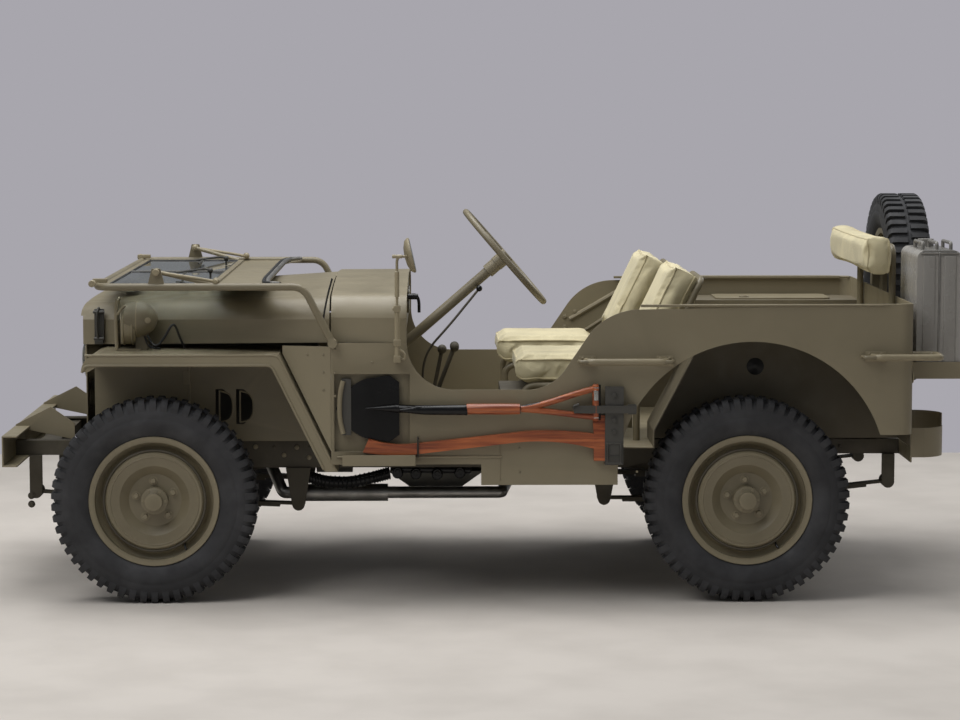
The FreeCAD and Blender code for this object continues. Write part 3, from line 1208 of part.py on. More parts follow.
def make_driver_controls():
    """Gear lever, two transfer levers, brake handle and three pedals."""
    items = []
    for number, (x, y) in enumerate(((0, -0.1), (0.9, 0.5), (0.9, 0.9))):
        top = (d.gear_lever_x + d.knob_radius * 3 * x, d.gearbox_half * y, d.gear_lever_z)
        foot = (d.gear_lever_x - d.knob_radius * 3, d.gearbox_half * y, d.floor_top + d.knob_radius)
        items.append(tube("lever_%d" % number, [foot, top], d.lever_radius * 0.8))
        items.append(ball("lever_knob_%d" % number, top, d.knob_radius))
    tower = box("lever_tower", (d.toe_rear + d.slack, d.gear_lever_x + d.knob_radius * 2),
                (-d.gearbox_half * 0.6, d.gearbox_half * 1.1), (d.floor_top + seat_gap, d.floor_top + d.knob_radius * 2.5))
    levers = fuse("levers", items + [tower])
    pedals = []
    for name, side in (("clutch", 1.28), ("brake", 0.86)):
        pad_x = d.toe_rear - d.knob_radius * 5
        arm = tube(name + "_arm", [(d.toe_rear - d.knob_radius * 9, -d.steer_y * side, d.toe_top * 0.925),
                                   (pad_x, -d.steer_y * side, d.toe_top)], d.lever_radius * 0.7)
        plate = rod(name + "_pad", (pad_x, -d.steer_y * side, d.toe_top), (0.7, 0, 0.7), d.knob_radius * 1.6, d.lever_radius)
        pedals.append(fuse(name + "_pedal", [arm, plate]))
    return group("driver_controls", [levers] + pedals)


# Seats

def make_cushion(label, low_x, high_x, low_y, high_y, low_z, high_z):
    body = new_body(label)
    round_in = d.seat_round
    pad(body, "XZ_Plane", low_y, high_y, [
        (low_x + round_in, low_z), (as_size(high_x) - round_in, low_z), (high_x, as_size(low_z) + round_in, round_in),
        (high_x, as_size(high_z) - round_in), (as_size(high_x) - round_in, high_z, round_in), (as_size(low_x) + round_in, high_z),
        (low_x, as_size(high_z) - round_in, round_in), (low_x, as_size(low_z) + round_in), (low_x + round_in, low_z, round_in)][:-1])
    return body


def lean_point(origin_x, origin_z, along, out):
    """Place on a leaning seat back: a distance up it and a distance behind its face."""
    sine = math.sin(math.radians(float(d.back_lean)))
    cosine = math.cos(math.radians(float(d.back_lean)))
    return (origin_x + along * sine + out * cosine, origin_z + along * cosine - out * sine)


def make_front_seat(name, x, y):
    """Bottom cushion and leaning back cushion."""
    half = d.seat_half
    low_y = y - half
    high_y = y + half
    base = make_cushion(name + "_base", x, x + d.seat_length, low_y, high_y, d.seat_low, d.seat_low + d.seat_thick)
    start_x = x + d.seat_length + d.seat_back_gap
    start_z = d.seat_low + d.seat_thick + d.back_rise
    thick = d.back_thick
    long = d.back_length
    back = slab(name + "_back", "XZ_Plane", low_y, high_y, [
        lean_point(start_x, start_z, as_size(0), as_size(0)), lean_point(start_x, start_z, long, as_size(0)),
        lean_point(start_x, start_z, long, thick), lean_point(start_x, start_z, as_size(0), thick)][::-1])
    return group(name + "_seat_cushions", [base, back])


def make_seat_frames():
    """Tubular seat frames: a hoop behind each back cushion that runs down to the floor."""
    radius = d.seat_tube
    frames = []
    for name, x, y in (("driver", d.driver_seat_x, d.driver_seat_y), ("passenger", d.passenger_seat_x, d.passenger_seat_y)):
        start_x = x + d.seat_length + d.seat_back_gap
        start_z = d.seat_low + d.seat_thick + d.back_rise
        behind = d.back_thick + radius + seat_gap
        top = lean_point(start_x, start_z, d.back_length * 0.86, behind)
        low = lean_point(start_x, start_z, -d.back_rise, behind)
        side = d.seat_half - radius * 2
        under = d.seat_low - radius - seat_gap
        hoop = tube(name + "_hoop", [
            (x + radius * 4, y - side, d.floor_top), (x + radius * 4, y - side, under), (low[0] - radius * 2, y - side, under),
            (top[0], y - side, top[1]), (top[0], y + side, top[1]), (low[0] - radius * 2, y + side, under),
            (x + radius * 4, y + side, under), (x + radius * 4, y + side, d.floor_top)], radius, radius * 3)
        legs = [rod("%s_leg_%s" % (name, word), (low[0] - radius * 6, y + side * sign, d.floor_top), (0, 0, 1), radius, under - d.floor_top)
                for word, sign in (("left", -1), ("right", 1))]
        frames.append(fuse(name + "_seat_frame", [hoop] + legs))
    radius = d.seat_tube
    side = d.rear_half - radius * 6
    under = d.rear_cushion_low - radius - seat_gap
    front = d.rear_cushion_front + radius * 4
    behind = d.rear_back_x + d.rear_back_thick + radius + seat_gap
    route = [(front, side, d.floor_top), (front, side, under), (behind, side, under),
             (behind, side, d.rear_back_high - radius * 4)]
    rear = tube("rear_hoop", flipped(route) + route[::-1], radius, radius * 3)
    rear_legs = [rod("rear_leg_" + word, (behind - radius * 6, side * sign, d.floor_top), (0, 0, 1), radius,
                     under - d.floor_top) for word, sign in (("left", -1), ("right", 1))]
    frames.append(fuse("rear_seat_frame", [rear] + rear_legs))
    return group("seat_frames", frames)


def make_rear_seat():
    half = d.rear_half
    base = make_cushion("rear_base", d.rear_cushion_front, d.rear_cushion_front + d.rear_cushion_long, -half, half,
                        d.rear_cushion_low, d.rear_cushion_low + d.seat_thick)
    back = make_cushion("rear_back", d.rear_back_x, d.rear_back_x + d.rear_back_thick, -half, half,
                        d.rear_back_low, d.rear_back_high)
    return group("rear_seat_cushions", [base, back])


# Handles, mirror and tools

def make_grab_handles():
    """A bar handle on each side and one round each rear corner."""
    items = []
    y = -d.handle_out + d.handle_tube / 2
    radius = d.handle_tube / 2
    side = tube("side_handle", [
        (d.handle_front, -body_half, d.handle_z), (d.handle_front, y, d.handle_z),
        (d.handle_rear, y, d.handle_z), (d.handle_rear, -body_half, d.handle_z)], radius, radius * 2)
    corner = tube("corner_handle", [
        (d.corner_handle_front, -body_half, d.corner_handle_z), (d.corner_handle_front, y, d.corner_handle_z),
        (d.corner_handle_rear, y, d.corner_handle_z), (d.corner_handle_rear, -body_half + d.corner_radius * 1.6, d.corner_handle_z),
        (d.side_rear, -body_half + d.corner_radius * 1.6, d.corner_handle_z)], radius, radius * 2)
    for bar in (side, corner):
        items.append(bar)
        items.append(mirrored(bar.Label + "_right", bar))
    return group("grab_handles", items)


def make_mirror():
    """Round mirror on a post that stands off the cowl's side."""
    radius = d.mirror_post
    post = tube("mirror_post", [
        (d.mirror_x, -body_half, d.mirror_low), (d.mirror_x, -d.mirror_y, d.mirror_low),
        (d.mirror_x, -d.mirror_y, d.mirror_high)], radius, radius * 1.5)
    link = rod("mirror_link", (d.mirror_x, -d.mirror_y, d.mirror_high - radius), (1, 0, 0), radius * 0.6,
               d.mirror_disc_x - d.mirror_x)
    centre_y = -d.mirror_y + d.mirror_radius - radius
    disc = rod("mirror_disc", (d.mirror_disc_x - d.mirror_thick / 2, centre_y, d.mirror_high), (0.98, 0, -0.17),
               d.mirror_radius, d.mirror_thick)
    return fuse("mirror", [post, link, disc])


def make_shovel():
    """Dished blade, bent socket, wooden shaft split into two arms, and a cross grip."""
    y = -d.shovel_y
    flat = -d.blade_y
    half = (d.shovel_high - d.shovel_low) / 2
    centre = (d.shovel_high + d.shovel_low) / 2
    blade = slab("shovel_blade", "XZ_Plane", flat - d.shovel_sheet / 2, flat + d.shovel_sheet / 2, [
        (d.shovel_rear, centre - half * 0.8), (d.shovel_rear, centre + half * 0.8),
        (d.shovel_rear - half * 0.3, centre + half), (d.shovel_front + half * 0.9, centre + half * 0.9),
        (d.shovel_front, centre, half * 1.5), (d.shovel_front + half * 0.9, centre - half * 0.9, half * 1.5),
        (d.shovel_rear - half * 0.3, centre - half)])
    start = flat - d.socket_radius / 2
    frog = doc.addObject("Part::Cone", "shovel_frog")
    frog.Placement = FreeCAD.Placement(Vector(), FreeCAD.Rotation(Vector(0, 0, 1), Vector(1, 0, 0)))
    bind(frog, "Radius1", d.shovel_sheet / 2)
    bind(frog, "Radius2", d.socket_radius * 1.1)
    bind(frog, "Height", half)
    place(frog, d.socket_front - half, start, d.shovel_axis)
    socket = tube("shovel_socket", [
        (d.socket_front - d.socket_radius, start, d.shovel_axis), (d.socket_front, start, d.shovel_axis),
        (d.socket_front + d.socket_bend, y, d.shovel_axis), (d.socket_rear + d.shovel_sheet, y, d.shovel_axis)],
        d.socket_radius, d.socket_radius)
    shaft = rod("shovel_shaft", (d.socket_rear, y, d.shovel_axis), (1, 0, 0), d.wood_radius,
                d.fork_x - d.socket_rear)
    arms = []
    for name, level in (("low", d.grip_low), ("high", d.grip_high)):
        arms.append(tube("shovel_arm_" + name, [
            (d.fork_x - d.wood_radius, y, d.shovel_axis), (d.fork_rear, y, (d.shovel_axis * 2 + level) / 3),
            (d.grip_x, y, level)], d.grip_radius * 0.9, d.wood_radius))
    reach = d.grip_radius
    grip = rod("shovel_grip", (d.grip_x, y, d.grip_low - reach), (0, 0, 1), reach,
               d.grip_high - d.grip_low + reach * 2)
    return fuse("shovel", [blade, frog, socket, shaft, grip] + arms)


def make_axe():
    """Curved haft, and a forged head that thins towards its bit."""
    y = -d.axe_y
    long = d.belly_x - d.neck_x
    haft = slab("axe_haft", "XZ_Plane", y - d.axe_wide / 2, y + d.axe_wide / 2, [
        (d.axe_butt, d.butt_low), (d.neck_x, d.neck_low, long * 2), (d.belly_x, d.belly_low),
        (d.axe_rear, d.eye_low, -long * 2), (d.axe_rear, d.eye_high), (d.belly_x, d.belly_high, long * 3),
        (d.neck_x, d.neck_high), (d.axe_butt + d.axe_wide, d.butt_high, -long)])
    eye = box("axe_eye", (d.head_front, d.head_rear), (y - d.head_wide / 2, y + d.head_wide / 2),
              (d.head_low, d.eye_high))
    bit = doc.addObject("Part::Wedge", "axe_bit")
    bit.Placement = FreeCAD.Placement(Vector(), FreeCAD.Rotation(Vector(1, 0, 0), 90))
    for name, size in (("Xmin", d.head_front), ("Xmax", d.head_rear), ("Zmin", -d.head_wide / 2),
                       ("Zmax", d.head_wide / 2), ("X2min", d.bit_front), ("X2max", d.bit_rear),
                       ("Z2min", -d.bit_wide / 2), ("Z2max", d.bit_wide / 2),
                       ("Ymin", d.eye_high), ("Ymax", d.bit_high)):
        bind(bit, name, size)
    place(bit, 0, y, 0)
    return fuse("axe", [haft, eye, bit])


def make_tool_brackets():
    """Clamp band, head strap, blade strap and haft staple on the body side."""
    sheet_size = d.band_sheet
    band_y = -d.shovel_y - d.grip_radius - seat_gap
    rear_x = (d.band_rear - sheet_size, d.band_rear)
    band = fuse("clamp_band", [
        box("band_face", (d.band_front, d.band_rear), (band_y - sheet_size, band_y), (d.band_low, d.band_high)),
        box("band_front_leg", (d.band_front, d.band_front + sheet_size), (band_y - sheet_size, -body_half),
            (d.band_low + sheet_size * 2, d.band_high)),
        box("band_rear_leg", rear_x, (band_y - sheet_size, -body_half), (d.band_low, d.band_high))])
    items = [band]
    blade_low = d.shovel_low + d.strap_rear - d.strap_front
    blade_high = d.shovel_high - d.blade_strap_rear + d.blade_strap_front
    for name, x, face_y, foot_y, low, high in (
            ("head", (d.strap_front, d.strap_rear), -d.axe_y - d.head_wide / 2 - seat_gap, -body_half,
             d.strap_low, d.strap_high),
            ("blade", (d.blade_strap_front, d.blade_strap_rear), -d.blade_y - d.shovel_sheet / 2 - seat_gap,
             -body_half + d.recess_depth, blade_low - d.overrun * 2, blade_high + d.overrun)):
        out_y = face_y - sheet_size
        items.append(fuse(name + "_strap", [
            box(name + "_strap_face", x, (out_y, face_y), (low, high)),
            box(name + "_strap_low", x, (out_y, foot_y), (low, low + sheet_size)),
            box(name + "_strap_high", x, (out_y, foot_y), (high - sheet_size, high))]))
    reach = -d.axe_y - d.axe_wide / 2 - d.slack - d.staple_radius
    spread = d.staple_radius * 3
    items.append(tube("haft_staple", [
        (d.staple_x, -body_half, d.neck_high + spread * 2), (d.staple_x, reach, d.neck_high + spread * 2),
        (d.staple_x, reach, d.neck_low - spread), (d.staple_x, -body_half, d.neck_low - spread)],
        d.staple_radius, spread / 2))
    return group("tool_brackets", items)


# Rear stowage

def make_jerrycan():
    """Pressed fuel can in two halves with a centre seam, cap and triple handle."""
    front = d.can_front + d.tray_gap
    rear = d.can_rear - d.tray_gap
    left = -d.can_left + d.tray_gap
    right = -d.can_right - d.tray_gap
    round_in = d.can_round
    shell = new_body("can_shell")
    pad(shell, "XZ_Plane", left, right, [
        (front + round_in, d.can_low), (rear - round_in, d.can_low), (rear, d.can_low + round_in, round_in),
        (rear, d.can_high - round_in), (rear - round_in, d.can_high, round_in), (front + round_in, d.can_high),
        (front, d.can_high - round_in, round_in), (front, d.can_low + round_in)])
    middle = (front + rear) / 2
    handles = []
    span = (right - left) / 2
    for name, x in (("front", front + round_in), ("middle", middle), ("rear", rear - round_in)):
        handles.append(tube("can_handle_" + name, [
            (x, left + span * 0.35, d.can_high - d.tray_wall), (x, left + span * 0.35, d.can_top - d.handle_tube / 2),
            (x, left + span * 1.25, d.can_top - d.handle_tube / 2), (x, left + span * 1.25, d.can_high - d.tray_wall)],
            d.handle_tube * 0.45, d.handle_tube * 0.6))
    cap = rod("can_cap", (middle, right - span * 0.35, d.can_high - d.tray_wall), (0, 0, 1), round_in, d.can_top - d.can_high)
    return fuse("jerrycan", [shell, cap] + handles)


def make_rear_carriers():
    """Open tray for the can and the spare wheel's bracket, both on the tail panel."""
    wall = d.tray_wall
    tray = new_body("can_tray")
    low = d.can_low - wall - seat_gap
    front = d.side_rear + seat_gap
    pad(tray, "XY_Plane", low, d.tray_high, rectangle(front, -d.can_left - wall, d.can_rear, -d.can_right + wall))
    cut(tray, "XY_Plane", low + wall, d.tray_high + d.overrun, rectangle(
        front + wall, -d.can_left, d.can_rear - wall, -d.can_right))
    start = d.side_rear + seat_gap
    plate = box("spare_plate", (start, start + wall), (d.spare_y - d.carrier_half, d.spare_y + d.carrier_half),
                (d.carrier_low, d.side_top))
    studs = []
    for number in range(3):
        angle = math.radians(60 * number - 150)
        studs.append(rod("spare_stud_%d" % number, (
            start, d.spare_y + d.stud_circle * math.cos(angle), d.spare_z + d.stud_circle * math.sin(angle)),
            (1, 0, 0), d.stud_radius, d.spare_x + d.disc_offset - d.rim_sheet - seat_gap - start))
    return group("rear_carriers", [tray, fuse("spare_carrier", [plate] + studs)])


def lay_over(item, x, y, z):
    """Turn a wheel so that its outer face looks to the rear."""
    item.Placement = FreeCAD.Placement(Vector(), FreeCAD.Rotation(Vector(0, 0, 1), -90))
    return place(item, x, y, z)


def make_spare(form):
    rim = make_rim("spare_wheel", 0, 0, 0, 1, False)
    tyre = group("spare_tyre", [form])
    for item in (rim, tyre):
        lay_over(item, d.spare_x, d.spare_y, d.spare_z)
    return [rim, tyre]


pieces = [
    make_frame(), make_front_bumper(), make_rear_bumperettes(), make_pintle_hook(), make_engine_block(),
    make_gearbox(), make_propeller_shafts(), make_exhaust(), make_fuel_tank(), make_radiator(),
    make_front_axle(), make_rear_axle(), make_leaf_springs(), make_knuckle("left"), make_knuckle("right"),
    make_tie_rod(), make_floor_pan(), make_rear_panel(), make_wheelhouses(), make_cowl(), make_firewall(),
    make_dash_panel(), make_hood(), make_grille(), make_lamps(), make_fender(), make_windshield_frame(),
    make_windshield_sash(), make_windshield_glass(), make_steering_column(), make_steering_wheel(),
    make_driver_controls(), make_front_seat("driver", d.driver_seat_x, d.driver_seat_y),
    make_front_seat("passenger", d.passenger_seat_x, d.passenger_seat_y), make_rear_seat(), make_seat_frames(),
    make_grab_handles(), make_mirror(), make_shovel(), make_axe(), make_tool_brackets(), make_jerrycan(),
    make_rear_carriers(),
]
pieces += make_body_sides()
tyre_form = make_tyre_form()
pieces += make_wheels(tyre_form)
pieces += make_spare(tyre_form)
doc.recompute()

for item in doc.Objects:
    if "Invalid" in item.State or "Error" in item.State:
        raise RuntimeError("failed feature: " + item.Label)
os.makedirs("parts", exist_ok=True)
for piece in pieces:
    shape = piece.Shape
    if shape.isNull() or not shape.isValid() or not shape.Solids:
        raise RuntimeError("bad shape: " + piece.Label)
    shape.exportStep("parts/%s.step" % piece.Label)
print("%d pieces" % len(pieces))
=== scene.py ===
import math

import bmesh
import bpy
from mathutils import Matrix, Vector
from mathutils.bvhtree import BVHTree


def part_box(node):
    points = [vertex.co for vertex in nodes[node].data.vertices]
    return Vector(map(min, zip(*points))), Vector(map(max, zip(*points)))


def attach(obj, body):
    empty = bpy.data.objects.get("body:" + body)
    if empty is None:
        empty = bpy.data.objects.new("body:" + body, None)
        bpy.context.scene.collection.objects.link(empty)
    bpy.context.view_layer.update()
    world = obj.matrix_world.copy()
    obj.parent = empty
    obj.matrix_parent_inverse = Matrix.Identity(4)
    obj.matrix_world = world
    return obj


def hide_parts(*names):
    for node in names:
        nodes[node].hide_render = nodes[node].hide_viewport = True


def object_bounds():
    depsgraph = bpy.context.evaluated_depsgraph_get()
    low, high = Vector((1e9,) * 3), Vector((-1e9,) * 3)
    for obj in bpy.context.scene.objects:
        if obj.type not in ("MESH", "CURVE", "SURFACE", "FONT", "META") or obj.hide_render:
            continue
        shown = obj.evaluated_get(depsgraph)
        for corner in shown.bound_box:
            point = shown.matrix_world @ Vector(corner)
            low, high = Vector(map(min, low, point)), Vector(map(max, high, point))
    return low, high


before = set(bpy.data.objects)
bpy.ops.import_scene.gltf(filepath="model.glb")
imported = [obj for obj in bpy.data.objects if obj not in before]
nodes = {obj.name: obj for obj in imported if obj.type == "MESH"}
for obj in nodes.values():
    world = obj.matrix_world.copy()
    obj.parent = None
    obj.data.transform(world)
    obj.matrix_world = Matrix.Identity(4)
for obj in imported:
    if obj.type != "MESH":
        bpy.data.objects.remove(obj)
cad_low, cad_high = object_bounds()

# Places in metres, from the frame where it has them. Minus X is the front, minus Y the left side.


def middle_of(node):
    low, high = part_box(node)
    return (low + high) / 2


BODY_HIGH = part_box("body_side_left")[1]
PANEL_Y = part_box("body_side_right")[1].y - 0.040
HOOD_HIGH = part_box("hood")[1]
FENDER_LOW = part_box("front_fenders")[0]
GRILLE_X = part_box("grille")[0].x
GLASS_LOW, GLASS_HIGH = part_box("windshield_glass")
CAN_LOW, CAN_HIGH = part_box("jerrycan")
NIGHT_NEAR, NIGHT_FAR = -0.595, -0.525
TYRE_RADIUS = (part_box("tyre_front_left")[1].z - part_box("tyre_front_left")[0].z) / 2
WHEELS = ("front_left", "front_right", "rear_left", "rear_right")
AHEAD, AFT = (-1, 0, 0), (1, 0, 0)
LEFT, UP = (0, -1, 0), (0, 0, 1)


# Materials

def shader(name):
    """New node material, a feeder for its principled shader and a helper that adds linked nodes."""
    material = bpy.data.materials.new(name)
    material.use_nodes = True
    tree = material.node_tree
    base = tree.nodes["Principled BSDF"]

    def fill(socket, value):
        if isinstance(value, bpy.types.NodeSocket):
            tree.links.new(value, socket)
        else:
            socket.default_value = value

    def feed(key, value):
        fill(base.inputs[key], value)

    def add(kind, inputs=None, **settings):
        node = tree.nodes.new(kind)
        for key, value in settings.items():
            setattr(node, key, value)
        for key, value in (inputs or {}).items():
            fill(node.inputs[key], value)
        return node

    return material, feed, add


def noise(add, scale, detail=3, distortion=0.0, stretch=None):
    place = add("ShaderNodeTexCoord").outputs["Object"]
    if stretch:
        place = add("ShaderNodeMapping", {"Vector": place, "Scale": stretch}).outputs[0]
    return add("ShaderNodeTexNoise", {"Vector": place, "Scale": scale, "Detail": detail,
                                      "Distortion": distortion}).outputs["Fac"]


def span(add, value, low, high, to_low=0.0, to_high=1.0):
    return add("ShaderNodeMapRange", {"Value": value, "From Min": low, "From Max": high,
                                      "To Min": to_low, "To Max": to_high}).outputs["Result"]


def mixed(add, share, one, two):
    """Mix of two colours; the node's colour sockets are reached by number, as its names repeat."""
    return add("ShaderNodeMix", {0: share, 6: one, 7: two}, data_type="RGBA").outputs[2]


def bumped(add, height, strength, distance, under=None):
    """Normal bent by a height, over another normal where one is given."""
    inputs = {"Height": height, "Strength": strength, "Distance": distance}
    if under is not None:
        inputs["Normal"] = under
    return add("ShaderNodeBump", inputs).outputs[0]


def colour(red, green, blue):
    """Linear colour of an sRGB shade given in 0 to 255."""
    def linear(level):
        share = level / 255
        return share / 12.92 if share <= 0.04045 else ((share + 0.055) / 1.055) ** 2.4
    return (linear(red), linear(green), linear(blue), 1)


def scaled(shade, share, lift=0.0):
    return tuple(min(1, part * share + lift) for part in shade[:3]) + (1,)


DUST = (0.42, 0.38, 0.29)
SOIL = (0.30, 0.25, 0.13, 1)
EDGE_ROUND = 0.0015
WEAVE_SCALE = 190.0


def painted(name, shade, rough=0.5, tone=0.12, dust=0.25, wear=0.35, grain=1.0):
    """Sprayed paint: soft tone changes, dust in patches, lighter rubbed edges and orange peel."""
    material, feed, add = shader(name)
    tones = span(add, noise(add, 2.2, 4), 0.35, 0.65)
    body = mixed(add, tones, scaled(shade, 1 - tone), scaled(shade, 1 + tone))
    dusty = tuple(part * 0.7 + 0.3 * pale for part, pale in zip(shade[:3], DUST)) + (1,)
    body = mixed(add, span(add, noise(add, 9, 6, 0.4), 0.48, 0.75, 0, dust), body, dusty)
    edges = add("ShaderNodeNewGeometry").outputs["Pointiness"]
    body = mixed(add, span(add, edges, 0.515, 0.6, 0, wear), body, scaled(shade, 1.7, 0.03))
    feed("Base Color", body)
    feed("Roughness", span(add, noise(add, 14, 5), 0.3, 0.7, rough - 0.07, rough + 0.1))
    round_edge = add("ShaderNodeBevel", {"Radius": EDGE_ROUND}, samples=4).outputs[0]
    peel = bumped(add, noise(add, 420, 2), 0.12 * grain, 0.0006, round_edge)
    feed("Normal", bumped(add, noise(add, 3.2, 2), 0.35 * grain, 0.004, peel))
    return material


def rubber(name, shade, rough=0.72):
    """Dull rubber, dusty in patches."""
    material, feed, add = shader(name)
    dusty = scaled(shade, 1.9, 0.012)
    feed("Base Color", mixed(add, span(add, noise(add, 7, 6, 0.3), 0.42, 0.72, 0, 0.7), shade, dusty))
    feed("Roughness", span(add, noise(add, 25, 4), 0.3, 0.7, rough - 0.08, rough + 0.12))
    feed("Normal", bumped(add, noise(add, 260, 4), 0.3, 0.0008))
    return material


def canvas(name, shade):
    """Proofed canvas: fine two-way weave, mottled shade, soil, creases, slight sheen."""
    material, feed, add = shader(name)
    body = mixed(add, span(add, noise(add, 6, 6, 0.6), 0.4, 0.72), shade, scaled(shade, 0.78))
    feed("Base Color", mixed(add, span(add, noise(add, 2.1, 5, 0.8), 0.56, 0.78, 0, 0.35), body, SOIL))
    feed("Roughness", 0.82)
    feed("Sheen Weight", 0.15)
    place = add("ShaderNodeTexCoord").outputs["Object"]
    threads = [add("ShaderNodeTexWave", {"Vector": place, "Scale": WEAVE_SCALE, "Distortion": 0.4},
                   bands_direction=way).outputs["Fac"] for way in ("X", "Y")]
    weave = add("ShaderNodeMath", {0: threads[0], 1: threads[1]}, operation="MULTIPLY").outputs[0]
    fine = bumped(add, weave, 0.35, 0.0008)
    feed("Normal", bumped(add, noise(add, 11, 5, 1.4), 0.6, 0.006, fine))
    return material


def timber(name, shade, dark):
    """Oiled wood with grain along the length of the car."""
    material, feed, add = shader(name)
    streak = noise(add, 30, 6, 0.8, (0.12, 1.6, 1.6))
    pores = span(add, noise(add, 160, 3, 0, (0.06, 1, 1)), 0.5, 0.66, 0, 0.45)
    body = mixed(add, span(add, streak, 0.38, 0.62), dark, shade)
    feed("Base Color", mixed(add, pores, body, scaled(dark, 0.4)))
    feed("Roughness", span(add, streak, 0.3, 0.7, 0.3, 0.5))
    feed("Coat Weight", 0.25)
    feed("Coat Roughness", 0.25)
    feed("Normal", bumped(add, streak, 0.25, 0.001))
    return material


def metal(name, shade, rough=0.3):
    """Bare metal with duller patches."""
    material, feed, add = shader(name)
    feed("Base Color", mixed(add, span(add, noise(add, 16, 5), 0.4, 0.7), shade, scaled(shade, 0.7)))
    feed("Metallic", 1.0)
    feed("Roughness", span(add, noise(add, 30, 5), 0.3, 0.7, rough * 0.7, rough * 1.4))
    feed("Normal", bumped(add, noise(add, 300, 3), 0.1, 0.0005))
    return material


def clear(name, tint=(0.86, 0.92, 0.9, 1), rough=0.02):
    """Slightly smeared glass."""
    material, feed, add = shader(name)
    feed("Base Color", tint)
    feed("Transmission Weight", 1.0)
    feed("IOR", 1.45)
    feed("Roughness", span(add, noise(add, 4, 3), 0.4, 0.8, rough, rough + 0.05))
    return material


OLIVE = painted("olive_paint", colour(119, 110, 88), 0.42, tone=0.09, dust=0.16)
# Darker copy of the olive paint for parts under the body and in recesses: the darkness is painted shade.
OLIVE_SHADED_UNDER = painted("olive_paint_shaded_under", colour(66, 60, 47), 0.62, dust=0.3, wear=0.2)
OLIVE_SHADE = painted("olive_paint_shaded", colour(92, 84, 66), 0.55, tone=0.1, dust=0.2)
OLIVE_WORN = painted("olive_paint_worn", colour(126, 116, 92), 0.4, wear=0.7, tone=0.14, dust=0.2)
ENGINE = painted("engine_grey_paint", colour(72, 70, 62), 0.6, dust=0.3)
CAN_GREY = painted("can_grey_paint", colour(126, 123, 118), 0.26, tone=0.06, dust=0.1, wear=0.8)
BLACK = painted("black_enamel", colour(13, 13, 14), 0.2, tone=0.15, dust=0.0, wear=0.15, grain=0.6)
BLACK.node_tree.nodes["Principled BSDF"].inputs["Specular IOR Level"].default_value = 0.3
STEEL_DARK = painted("dark_steel", colour(40, 38, 32), 0.4, dust=0.12, wear=0.9)
TYRE = rubber("tyre_rubber", colour(44, 44, 46))
SEAL = rubber("black_seal", colour(18, 18, 18), 0.45)
CANVAS = canvas("cream_canvas_cloth", colour(214, 203, 166))
CANVAS_SEAM = canvas("cream_canvas_piping", colour(206, 194, 156))
WOOD = timber("tool_timber", colour(180, 98, 52), colour(128, 58, 28))
BRIGHT = metal("bright_steel", (0.62, 0.62, 0.6, 1), 0.22)
GREY_METAL = metal("grey_steel", (0.34, 0.33, 0.31, 1), 0.4)
GLASS = clear("pane_glass")
LENS = clear("lens_glass", (0.95, 0.97, 0.96, 1), 0.05)
MIRROR = metal("mirror_silver", (0.85, 0.87, 0.88, 1), 0.04)
DIAL = painted("dial_face", colour(28, 29, 27), 0.35, wear=0.0)
DIAL_MARK = painted("dial_mark", colour(196, 190, 150), 0.5, wear=0.0)
RED_LENS = painted("red_lens", colour(120, 18, 14), 0.2, dust=0.05, wear=0.0)

# Mesh building: one Shape gathers the parts of a piece, in the frame's own space

TINY = 1e-6
BEND = 0.02


def frame_along(direction):
    """Rotation that takes Z onto a direction."""
    return Vector(direction).to_track_quat("Z", "Y").to_matrix()


